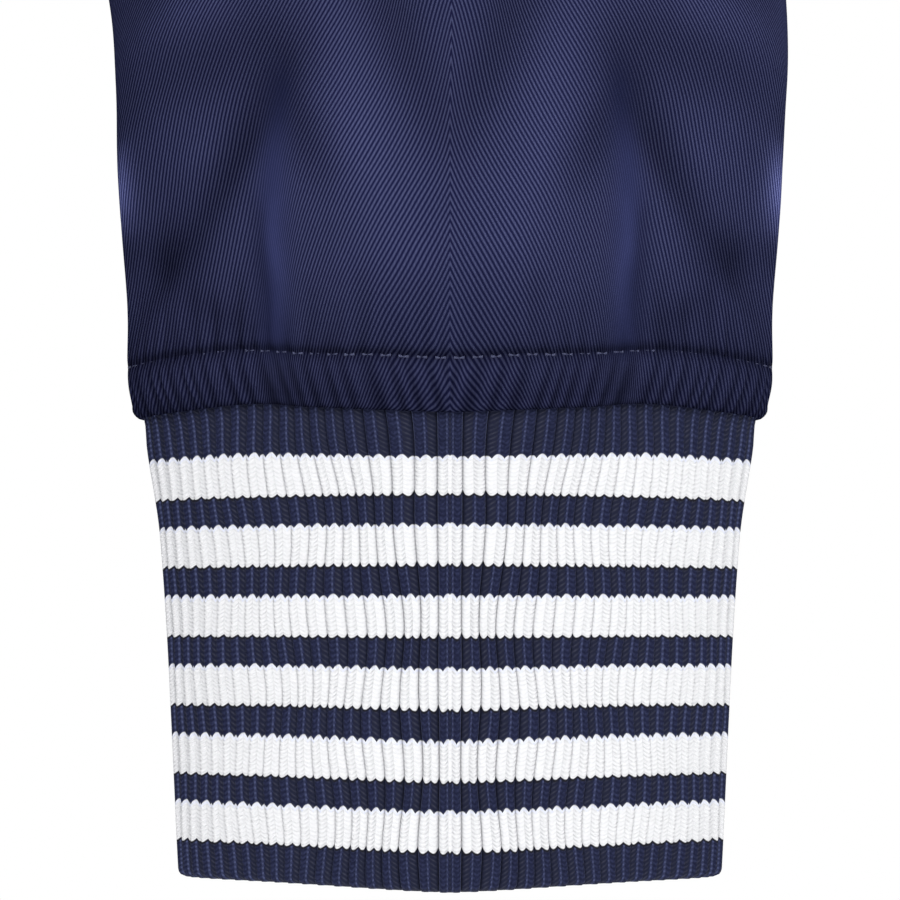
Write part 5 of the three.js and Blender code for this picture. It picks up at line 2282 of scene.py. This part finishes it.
    def slack(self, plain: Array, v: Array) -> Array:
        """Returns how far slow unevenness moves the band."""
        x, z = plain[..., 0], plain[..., 2]
        return 0.7 * np.sin(x / 31.0 + 0.6) * np.sin(np.pi * v) * np.cos(z / 40.0)


# ------------------------------------------------------------------ zip


@dataclass(frozen=True)
class ZipPlaces:
    """Where the parts of the zip lie, behind the centre front line."""

    tape_inner: float = 0.3
    tape_outer: float = 13.0
    tape_gap: float = 0.9
    tape_wall: float = 1.0
    chain_depth: float = 2.4
    end_drop: float = 2.0
    collar_front: tuple[float, float] = (-75.0, -20.0)
    slider_drop: float = 12.0
    twill_wall: float = 1.2
    rib_wall: float = 2.6

    @property
    def top_z(self) -> float:
        """The height of the tapes' upper ends."""
        return self.collar_front[1] - self.end_drop

    @property
    def bottom_z(self) -> float:
        """The height of their lower ends."""
        return BODY.hem_bottom_z + self.end_drop

    @property
    def slider_z(self) -> float:
        """The height of the slider's middle."""
        return self.top_z - self.slider_drop

    def centre_front(self, z: Array) -> Array:
        """Returns how far forward the outer face stands at the zip.

        Args:
            z: The height.

        Returns:
            The points' places forward.
        """
        seam = BODY.neck_front_z
        z = np.asarray(z, float)
        low = BODY.point(np.full_like(z, BODY.zip_edge), z, True)[..., 1]
        edge = BODY.point(np.array(BODY.zip_edge), np.array(seam), True)[..., 1]
        high = lerp(edge, self.collar_front[0], (z - seam) / (self.collar_front[1] - seam))
        return np.where(z <= seam, low, high)

    def tape_depth(self, z: Array) -> Array:
        """Returns how far the tapes lie behind the outer face."""
        into_rib = np.maximum(BODY.hem_seam_z + 14 - z, z - (BODY.neck_front_z - 16)) / 12
        return lerp(self.twill_wall, self.rib_wall, np.clip(into_rib, 0, 1)) + self.tape_gap

    def behind(self, z: Array, depth: Array) -> tuple[Array, Array, Array]:
        """Returns the place forward, the height and the lean of points behind the centre front line.

        Args:
            z: The height on the outer face.
            depth: How far behind it the points lie.

        Returns:
            The place forward, the height and the lean.
        """
        z = np.asarray(z, float)
        lean = np.arctan2(self.centre_front(z + 1) - self.centre_front(z - 1), 2)
        return self.centre_front(z) + depth * np.cos(lean), z - depth * np.sin(lean), lean


ZIP = ZipPlaces()


@dataclass
class ZipTape:
    """One of the zip's woven tapes."""

    finishes: Finishes
    left: bool
    columns: int = 12
    rows: int = 160

    def build(self) -> bpy.types.Object:
        """Builds the tape and dresses it.

        Returns:
            The finished piece.
        """
        z = np.linspace(ZIP.bottom_z, ZIP.top_z, self.rows + 1)[:, None]
        x = np.linspace(ZIP.tape_inner, ZIP.tape_outer, self.columns + 1)[None, :]
        y, height, lean = ZIP.behind(z, ZIP.tape_depth(z))
        points = points_of(x + 0 * z, y + 0 * x, height + 0 * x)
        normals = points_of(0 * x * z, -np.cos(lean) + 0 * x, np.sin(lean) + 0 * x)
        cord = 0.45 * bell(x - ZIP.tape_inner - 0.9, 0.8) + 0 * z
        rise = 0.12 * ripple(z, 31.0, 1.4) * smoothstep((x - 3) / 6) - 0.25
        finished = points + normals * (cord + rise)[..., None]
        flat = flat_places(points, False)
        back = Grid(points - normals * ZIP.tape_wall, flat)
        shell = Shell()
        shell.wall([Grid(finished, flat)], back.every(4, 4))
        side = side_name(self.left)
        piece = shell.piece(f"zip_tape_{side}_weave", mirrored=not self.left)
        smooth(piece, 60)
        dress(piece, self.finishes.tape, "tape", "garment", f"zip_tape_{side}")
        declare(piece, points, False)
        return piece


class Pattern:
    """A small shape, modelled once, that is copied many times into one piece."""

    def __init__(self, made: bpy.types.Object) -> None:
        """Takes the shape's points and faces, and removes the object.

        Args:
            made: The shape, at the origin, in metres.
        """
        mesh = made.data
        self.points = np.array([tuple(v.co) for v in mesh.vertices])
        self.faces = [tuple(p.vertices) for p in mesh.polygons]
        self.corners = np.concatenate([np.array(f) for f in self.faces])
        bpy.data.objects.remove(made)
        bpy.data.meshes.remove(mesh)

    def scatter(self, name: str, turns: Array, places: Array, flat_map: str) -> bpy.types.Object:
        """Copies the shape to many places, as one piece.

        Args:
            name: The piece's name.
            turns: A 3 by 3 matrix for each copy, whose columns are its axes.
            places: Each copy's place, in metres.
            flat_map: The name of the UV map that runs along the shape, in millimetres.

        Returns:
            The new piece.
        """
        count = len(places)
        points = np.einsum("nij,vj->nvi", turns, self.points) + places[:, None, :]
        size = len(self.points)
        faces = [tuple(i + k * size for i in face) for k in range(count) for face in self.faces]
        mesh = bpy.data.meshes.new(name)
        mesh.from_pydata(points.reshape(-1, 3).tolist(), [], faces)
        along = self.points[self.corners, 0] / MM
        around = np.arctan2(self.points[self.corners, 2], self.points[self.corners, 1]) / TAU
        one = np.stack([along, around], axis=-1)
        every = (one[None] + np.arange(count)[:, None, None] * np.array([0.37, 0.0])).reshape(-1)
        mesh.uv_layers.new(name=flat_map).uv.foreach_set("vector", every.astype(np.float32))
        made = bpy.data.objects.new(name, mesh)
        bpy.context.scene.collection.objects.link(made)
        smooth(made, 50)
        return made


def fresh(add: Callable[..., Any], **settings: Any) -> bpy.types.Object:
    """Adds a primitive with nothing else selected.

    Args:
        add: The operator that adds it.
        settings: The operator's settings.

    Returns:
        The new object.
    """
    bpy.ops.object.select_all(action="DESELECT")
    add(**settings)
    return bpy.context.active_object


def settle(piece: bpy.types.Object) -> None:
    """Puts a piece's place, turn and size into its mesh."""
    select(piece)
    bpy.ops.object.transform_apply(location=True, rotation=True, scale=True)


def block(size: Sequence[float], place: Sequence[float] = (0, 0, 0)) -> bpy.types.Object:
    """Adds a block.

    Args:
        size: Its width, depth and height, in millimetres.
        place: Where its middle lies, in millimetres.

    Returns:
        The block.
    """
    made = fresh(bpy.ops.mesh.primitive_cube_add, size=MM)
    made.scale = size
    made.location = [x * MM for x in place]
    settle(made)
    return made


def rod(
    radius: float, length: float, sides: int, turn: Sequence[float], y: float = 0.0
) -> bpy.types.Object:
    """Adds a cylinder.

    Args:
        radius: Its radius, in millimetres.
        length: Its length, in millimetres.
        sides: How many sides it has.
        turn: How it is turned from upright, in radians.
        y: How far back its middle lies, in millimetres.

    Returns:
        The cylinder.
    """
    add = bpy.ops.mesh.primitive_cylinder_add
    made = fresh(add, radius=radius * MM, depth=length * MM, vertices=sides)
    made.rotation_euler = turn
    made.location = (0, y * MM, 0)
    settle(made)
    return made


def joined(parts: Sequence[bpy.types.Object]) -> bpy.types.Object:
    """Joins several objects into the first one.

    Args:
        parts: The objects.

    Returns:
        The joined object.
    """
    select(*parts)
    bpy.ops.object.join()
    return bpy.context.active_object


def pick_faces(piece: bpy.types.Object, *directions: Sequence[float]) -> None:
    """Opens a piece for editing, with only the faces selected that face one of the directions.

    Args:
        piece: The piece.
        directions: Unit vectors.
    """
    bpy.ops.object.mode_set(mode="EDIT")
    bpy.ops.mesh.select_all(action="DESELECT")
    bpy.ops.object.mode_set(mode="OBJECT")
    for face in piece.data.polygons:
        face.select = any(face.normal.dot(Vector(way)) > 0.9 for way in directions)
    bpy.ops.object.mode_set(mode="EDIT")


def push_out(distance: float, wider: Sequence[float]) -> None:
    """Extrudes the selected faces along X by a distance in millimetres, then scales them."""
    bpy.ops.mesh.extrude_region_move(TRANSFORM_OT_translate={"value": (distance * MM, 0, 0)})
    bpy.ops.transform.resize(value=wider)


def bevelled(piece: bpy.types.Object, width: float, segments: int = 1) -> None:
    """Rounds a piece's edges.

    Args:
        piece: The piece.
        width: The rounding's width, in millimetres.
        segments: How many steps it has.
    """
    rounding = piece.modifiers.new("rounding", "BEVEL")
    rounding.width = width * MM
    rounding.segments = segments
    rounding.limit_method = "ANGLE"
    rounding.angle_limit = math.radians(30)
    bpy.context.view_layer.objects.active = piece
    bpy.ops.object.modifier_apply(modifier="rounding")


@dataclass
class ZipTeeth:
    """The chain: moulded teeth on both tapes, meshed at the middle."""

    finishes: Finishes
    pitch: float = 2.6
    length: float = 3.0
    height: float = 1.25
    depth: float = 2.1
    overlap: float = 0.55
    above_box: float = 15.0
    below_slider: float = 3.0

    def tooth(self) -> Pattern:
        """Models one tooth. Its head is at the origin's side and its root at +X.

        Returns:
            The tooth, ready to be copied.
        """
        size = (self.length * 0.55, self.depth, self.height * 0.62)
        made = block(size, (self.length * 0.28, 0, 0))
        pick_faces(made, (-1, 0, 0))
        push_out(-self.length * 0.18, (1, 0.92, 1.6))
        push_out(-self.length * 0.18, (1, 0.80, 0.72))
        pick_faces(made, (1, 0, 0))
        push_out(self.length * 0.28, (1, 0.9, 1.5))
        bpy.ops.object.mode_set(mode="OBJECT")
        bevelled(made, 0.12)
        return Pattern(made)

    def build(self) -> bpy.types.Object:
        """Builds the chain and dresses it.

        Returns:
            The finished piece.
        """
        tooth = self.tooth()
        z = np.arange(ZIP.bottom_z + self.above_box, ZIP.slider_z - self.below_slider, self.pitch / 2)
        side = np.where(np.arange(len(z)) % 2 == 0, 1.0, -1.0)
        y, height, lean = ZIP.behind(z, ZIP.tape_depth(z) - self.depth / 2)
        up = points_of(0 * z, np.sin(lean), np.cos(lean))
        across = points_of(side, 0, 0)
        deep = np.cross(up, across)
        turns = np.stack([across, deep, up], axis=-1)
        places = points_of(side * self.overlap * 0.2, y, height) * MM
        piece = tooth.scatter("zip_teeth", turns, places, "Thread")
        dress(piece, self.finishes.teeth, "tape", "garment")
        return piece


@dataclass
class ZipMetal:
    """The slider, the pull tab and the box, rounded as cast."""

    finishes: Finishes
    slider_size: tuple[float, float] = (10.5, 13.0)
    plate: float = 1.5
    gap: float = 0.35
    clear: float = 2.6
    bar: float = 1.3
    span: float = 7.6
    bridge_width: float = 2.4
    tab_width: float = 7.0
    tab_length: float = 27.0
    tab_thickness: float = 1.5
    window: tuple[float, float] = (3.6, 6.4)
    bar_radius: float = 0.75
    post_radius: float = 1.5
    rounding: float = 0.3
    box_size: tuple[float, float, float] = (8.0, 2.2, 12.0)

    def seat(self) -> tuple[Vector, float]:
        """Returns the slider's place in millimetres and its lean."""
        y, z, lean = ZIP.behind(ZIP.slider_z, ZIP.tape_depth(ZIP.slider_z))
        return Vector((0.0, float(y), float(z))), float(lean)

    def placed(self, piece: bpy.types.Object, offset: Vector = Vector((0, 0, 0))) -> None:
        """Moves a piece modelled about the slider's seat to its place.

        Args:
            piece: The piece.
            offset: How far from the seat it lies, in millimetres.
        """
        seat, lean = self.seat()
        turn = Matrix.Rotation(-lean, 4, "X")
        piece.matrix_world = Matrix.Translation(seat * MM) @ turn @ Matrix.Translation(offset * MM)
        settle(piece)

    def slider(self) -> bpy.types.Object:
        """Builds the slider: two shield-shaped plates, a post and a bridge.

        Returns:
            The finished piece.
        """
        width, height = self.slider_size
        front = -(ZIP.chain_depth + self.gap + self.plate / 2)
        rear = ZIP.tape_wall + self.gap + self.plate / 2
        parts = [self.shield(front, width, height), self.shield(rear, width, height)]
        middle = (front + rear) / 2
        parts.append(rod(self.post_radius, rear - front, 20, (math.pi / 2, 0, 0), middle))
        parts.append(self.bridge(front))
        piece = joined(parts)
        piece.name = "zip_slider_body"
        self.placed(piece)
        smooth(piece, 40)
        dress(piece, self.finishes.metal, "zip_metal", "garment", "zip_slider")
        return piece

    def shield(self, y: float, width: float, height: float) -> bpy.types.Object:
        """Models one plate, narrower towards its lower end.

        Args:
            y: Where its middle lies.
            width: Its width at the top.
            height: Its height.

        Returns:
            The plate.
        """
        plate = block((width, self.plate, height), (0, y, 0))
        bpy.ops.object.mode_set(mode="EDIT")
        bpy.ops.mesh.select_all(action="SELECT")
        bpy.ops.mesh.subdivide(number_cuts=3)
        bpy.ops.object.mode_set(mode="OBJECT")
        for point in plate.data.vertices:
            low = max(0.0, 0.5 - point.co.z / (height * MM)) ** 1.4
            high = max(0.0, point.co.z / (height * MM) - 0.2)
            point.co.x *= 1 - 0.30 * low - 0.25 * high
        bevelled(plate, 0.35, 3)
        return plate

    def bridge(self, front: float) -> bpy.types.Object:
        """Models the arch that holds the pull tab.

        Args:
            front: Where the front plate's middle lies.

        Returns:
            The arch with its two legs.
        """
        out = front - self.plate / 2 - self.clear - self.bar / 2
        legs = front - out + self.bar / 2
        parts = [block((self.bridge_width, self.bar, self.span + 2 * self.bar), (0, out, 0))]
        for side in (-1, 1):
            place = (0, (front + out - self.bar / 2) / 2, side * (self.span + self.bar) / 2)
            parts.append(block((self.bridge_width, legs, self.bar), place))
        for part in parts:
            bevelled(part, self.rounding, 3)
        return joined(parts)

    def tab(self) -> bpy.types.Object:
        """Builds the pull tab, with its window and bar at the origin.

        Returns:
            The finished piece.
        """
        width, length, thick = self.tab_width, self.tab_length, self.tab_thickness
        plate = block((width, thick, length - self.window[1]), (0, 0, -(length + self.window[1]) / 2))
        pick_faces(plate, (0, 1, 0), (0, -1, 0))
        bpy.ops.mesh.inset(thickness=1.1 * MM, depth=-0.22 * MM, use_individual=True)
        bpy.ops.object.mode_set(mode="OBJECT")
        bevelled(plate, self.rounding, 3)
        parts = [plate]
        side = (width - self.window[0]) / 2
        for sign in (-1, 1):
            place = (sign * (self.window[0] + side) / 2, 0, -self.window[1] / 2 - 0.5)
            arm = block((side, thick, self.window[1] + 1.0), place)
            bevelled(arm, self.rounding, 3)
            parts.append(arm)
        bar = rod(self.bar_radius, width, 24, (0, math.pi / 2, 0))
        bevelled(bar, 0.2, 2)
        piece = joined([*parts, bar])
        piece.name = "pull_tab_body"
        y = -(ZIP.chain_depth + self.gap + self.plate + self.clear / 2)
        self.placed(piece, Vector((0, y, 0)))
        smooth(piece, 40)
        dress(piece, self.finishes.metal, "zip_metal", "pull_tab", "pull_tab")
        return piece

    def box(self) -> bpy.types.Object:
        """Builds the box at the zip's lower end.

        Returns:
            The finished piece.
        """
        _, depth, height = self.box_size
        seat = ZIP.tape_depth(np.array(BODY.hem_bottom_z)) - depth / 2 - 0.3
        y, z, lean = ZIP.behind(ZIP.bottom_z + height / 2, seat)
        piece = block(self.box_size)
        piece.name = "zip_box_body"
        bevelled(piece, 0.45, 3)
        turn = Matrix.Rotation(-float(lean), 4, "X")
        piece.matrix_world = Matrix.Translation(Vector((0, float(y), float(z))) * MM) @ turn
        settle(piece)
        smooth(piece, 40)
        dress(piece, self.finishes.metal, "zip_metal", "garment", "zip_box")
        return piece

    def build(self) -> list[bpy.types.Object]:
        """Builds all three."""
        return [self.slider(), self.tab(), self.box()]


# ------------------------------------------------------------------ stitches


@dataclass
class Stitching:
    """Rows of topstitches."""

    finishes: Finishes
    length: float = 1.30
    width: float = 0.27
    pitch: float = 2.7
    rise: float = 0.04
    # The body's rows are coarser. They lie further out, because the faces under them are larger.
    body_pitch: float = 3.1
    body_proud: float = 0.14
    from_hem: float = 6.0
    from_neck: float = 5.0

    def stitch(self) -> Pattern:
        """Models one stitch, which dips at both ends.

        Returns:
            The stitch, ready to be copied.
        """
        made = rod(self.width / 2, self.length, 8, (0, math.pi / 2, 0))
        pick_faces(made, (1, 0, 0), (-1, 0, 0))
        bpy.ops.mesh.inset(thickness=self.width * 0.28 * MM, depth=self.width * 0.30 * MM)
        bpy.ops.object.mode_set(mode="OBJECT")
        for point in made.data.vertices:
            part = abs(point.co.x) / (self.length * MM / 2)
            point.co.z -= 0.16 * MM * part**2
            point.co.z *= 0.8
        return Pattern(made)

    def along(self, points: Array, normals: Array, pitch: float) -> tuple[Array, Array]:
        """Spaces stitches evenly along a line.

        Args:
            points: The line's points on the cloth, in millimetres.
            normals: The cloth's normals there.
            pitch: The distance from one stitch to the next.

        Returns:
            Each stitch's matrix and its place in millimetres.
        """
        length = length_along(points)
        count = int(length[-1] / pitch)
        at = (np.arange(count) + 0.5) * length[-1] / count

        def read(values: Array, where: Array) -> Array:
            """Returns the values at distances along the line."""
            return np.stack([np.interp(where, length, column) for column in values.T], axis=-1)

        place = read(points, at)
        ahead = unit(read(points, at + 0.5) - read(points, at - 0.5))
        up = read(normals, at)
        up = unit(up - ahead * np.sum(up * ahead, axis=-1, keepdims=True))
        aside = np.cross(up, ahead)
        return np.stack([ahead, aside, up], axis=-1), place + up * self.rise

    def piece(
        self, name: str, rows: Sequence[tuple[Array, Array]], pitch: float, proud: float = 0.0
    ) -> bpy.types.Object:
        """Builds rows of stitches as one piece and dresses it.

        Args:
            name: The piece's name.
            rows: The points and normals of each row.
            pitch: The distance from one stitch to the next.
            proud: How much further out they lie, where the cloth's faces are larger.

        Returns:
            The finished piece.
        """
        spaced = [self.along(points, normals, pitch) for points, normals in rows]
        turns = np.concatenate([turn for turn, _ in spaced])
        places = np.concatenate([place for _, place in spaced]) + turns[..., 2] * proud
        made = self.stitch().scatter(name, turns, places * MM, "Thread")
        dress(made, self.finishes.thread, "tape", "garment")
        return made

    def sleeve_end(self, sleeve: Sleeve) -> bpy.types.Object:
        """Stitches round a sleeve's end.

        Args:
            sleeve: The sleeve.

        Returns:
            The finished piece.
        """
        turns = even_columns(sleeve.at_stitches, 0.75, np.linspace(0, 1, 1600))
        z = np.full_like(turns, sleeve.stitch_z)
        points, normals, _ = sleeve.surface(turns, z, sleeve.distance_round(turns))
        if not sleeve.left:
            points = points * MIRROR
            normals = normals * MIRROR
        name = f"stitches_sleeve_{side_name(sleeve.left)}"
        return self.piece(name, [(points, normals)], self.pitch)

    def body(self, front: Panel, back: Panel) -> bpy.types.Object:
        """Stitches above the hem, round the neck and along the zip.

        Args:
            front: The left front.
            back: The back.

        Returns:
            The finished piece.
        """
        rows = []
        for panel in (front, back):
            u = np.linspace(0.004, 0.995, 700)
            for from_seam, low in ((self.from_hem, True), (self.from_neck, False)):
                rows.append(self.row(panel, u, from_seam, low))
        v = np.linspace(0.012, 0.985, 1500)
        wide = BODY.panel(np.ones_like(v), v, True, BODY.zip_edge)[..., 0] - BODY.zip_edge
        u = self.from_hem / (wide * 3 * BODY.quarter_arc)
        points, _, normals = front.surface(u, v)
        rows.append((points, normals))
        both = rows + [(points * MIRROR, normals * MIRROR) for points, normals in rows]
        return self.piece("stitches_body", both, self.body_pitch, self.body_proud)

    def row(self, panel: Panel, u: Array, from_seam: float, low: bool) -> tuple[Array, Array]:
        """Returns points and normals at a distance from a panel's hem line or neckline.

        Args:
            panel: The panel.
            u: How far each point is from the centre line.
            from_seam: The distance, in millimetres.
            low: Whether it is measured from the hem line.

        Returns:
            The points and the normals.
        """
        v = np.linspace(0, 0.05, 120) if low else np.linspace(1, 0.90, 120)
        grid = panel.form(u[None, :], v[:, None])
        away = np.linalg.norm(grid - grid[:1], axis=-1)
        place = np.array([np.interp(from_seam, away[:, i], v) for i in range(len(u))])
        points, _, normals = panel.surface(u, place)
        return points, normals


# ------------------------------------------------------------------ studio


@dataclass(frozen=True)
class Softbox:
    """A square lamp, aimed at a point."""

    name: str
    place: tuple[float, float, float]
    target: tuple[float, float, float]
    size: float
    power: float

    def hang(self) -> None:
        """Adds the lamp."""
        lamp = bpy.data.lights.new(self.name, "AREA")
        lamp.size = self.size
        lamp.energy = self.power
        held = bpy.data.objects.new(self.name, lamp)
        held.location = self.place
        aim = Vector(self.target) - Vector(self.place)
        held.rotation_euler = aim.to_track_quat("-Z", "Y").to_euler()
        bpy.context.scene.collection.objects.link(held)


@dataclass
class Studio:
    """The floor, the lights and the camera."""

    floor_z: float = -1.05
    floor_radius: float = 3.2
    camera_place: tuple[float, float, float] = (0.320, -0.435, -0.629)
    camera_rise: float = math.radians(3.46)
    lens: float = 109.2
    world: float = 0.26
    softboxes: tuple[Softbox, ...] = (
        Softbox("front", (0.32, -2.3, 0.25), (0.32, 0.0, -0.58), 1.2, 48.0),
        Softbox("top", (0.32, -0.6, 2.0), (0.2, 0.0, -0.3), 1.8, 14.0),
        Softbox("left", (-2.3, -0.7, 0.2), (0.0, 0.0, -0.4), 1.4, 12.0),
        Softbox("right", (2.9, -0.7, 0.2), (0.2, 0.0, -0.4), 1.4, 8.0),
        Softbox("behind", (0.1, 2.4, 0.3), (0.0, 0.0, -0.35), 1.8, 18.0),
    )

    def build(self) -> None:
        """Builds all of it."""
        self.floor()
        self.light()
        self.shoot()

    def floor(self) -> None:
        """Lays a round floor under the jacket."""
        floor = fresh(
            bpy.ops.mesh.primitive_circle_add, vertices=128, radius=self.floor_radius, fill_type="NGON"
        )
        floor.name = "studio_floor"
        floor.location = (0, 0, self.floor_z)
        settle(floor)
        floor.data.materials.append(FloorFinish().make())

    def light(self) -> None:
        """Hangs the softboxes and sets a near-white surround."""
        for softbox in self.softboxes:
            softbox.hang()
        world = bpy.data.worlds.new("studio")
        world.use_nodes = True
        nodes, links = world.node_tree.nodes, world.node_tree.links
        nodes.clear()
        seen = nodes.new("ShaderNodeBackground")
        seen.inputs["Color"].default_value = (1, 1, 1, 1)
        lit = nodes.new("ShaderNodeBackground")
        lit.inputs["Color"].default_value = (0.96, 0.98, 1, 1)
        lit.inputs["Strength"].default_value = self.world
        path = nodes.new("ShaderNodeLightPath")
        mix = nodes.new("ShaderNodeMixShader")
        output = nodes.new("ShaderNodeOutputWorld")
        links.new(path.outputs["Is Camera Ray"], mix.inputs[0])
        links.new(lit.outputs[0], mix.inputs[1])
        links.new(seen.outputs[0], mix.inputs[2])
        links.new(mix.outputs[0], output.inputs["Surface"])
        bpy.context.scene.world = world
        bpy.context.scene.view_settings.view_transform = "Standard"

    def shoot(self) -> None:
        """Sets up the camera in front of the left cuff."""
        camera = bpy.data.cameras.new("camera")
        camera.lens = self.lens
        camera.sensor_width = 36
        camera.clip_start = 0.02
        held = bpy.data.objects.new("camera", camera)
        held.location = self.camera_place
        held.rotation_euler = (math.pi / 2 + self.camera_rise, 0, 0)
        bpy.context.scene.collection.objects.link(held)
        bpy.context.scene.camera = held


# ------------------------------------------------------------------ the jacket


def main() -> None:
    """Builds the jacket piece by piece."""
    logging.basicConfig(level=logging.INFO, format="%(message)s")
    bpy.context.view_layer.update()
    finishes = Finishes.make()
    sleeve_left = Sleeve(finishes, True)
    sleeve_right = Sleeve(finishes, False, columns=240, finer=2)
    front_left = Panel(finishes, True, True)
    front_right = Panel(finishes, True, False)
    back = Panel(finishes, False, hem_phase=3.0)
    for part in (sleeve_left, sleeve_right):
        part.build()
    Cuff(finishes, True).build()
    Cuff(finishes, False, steps=RIBS.coarse, rows=34).build()
    for part in (front_left, front_right, back):
        part.build()
    Band(finishes, Edge.HEM, 2.8, 14).build()
    Band(finishes, Edge.NECK, 2.7, 22).build()
    for left in (True, False):
        ZipTape(finishes, left).build()
    ZipTeeth(finishes).build()
    ZipMetal(finishes).build()
    thread = Stitching(finishes)
    for part in (sleeve_left, sleeve_right):
        thread.sleeve_end(part)
    thread.body(front_left, back)
    Studio().build()


if __name__ == "__main__":
    main()
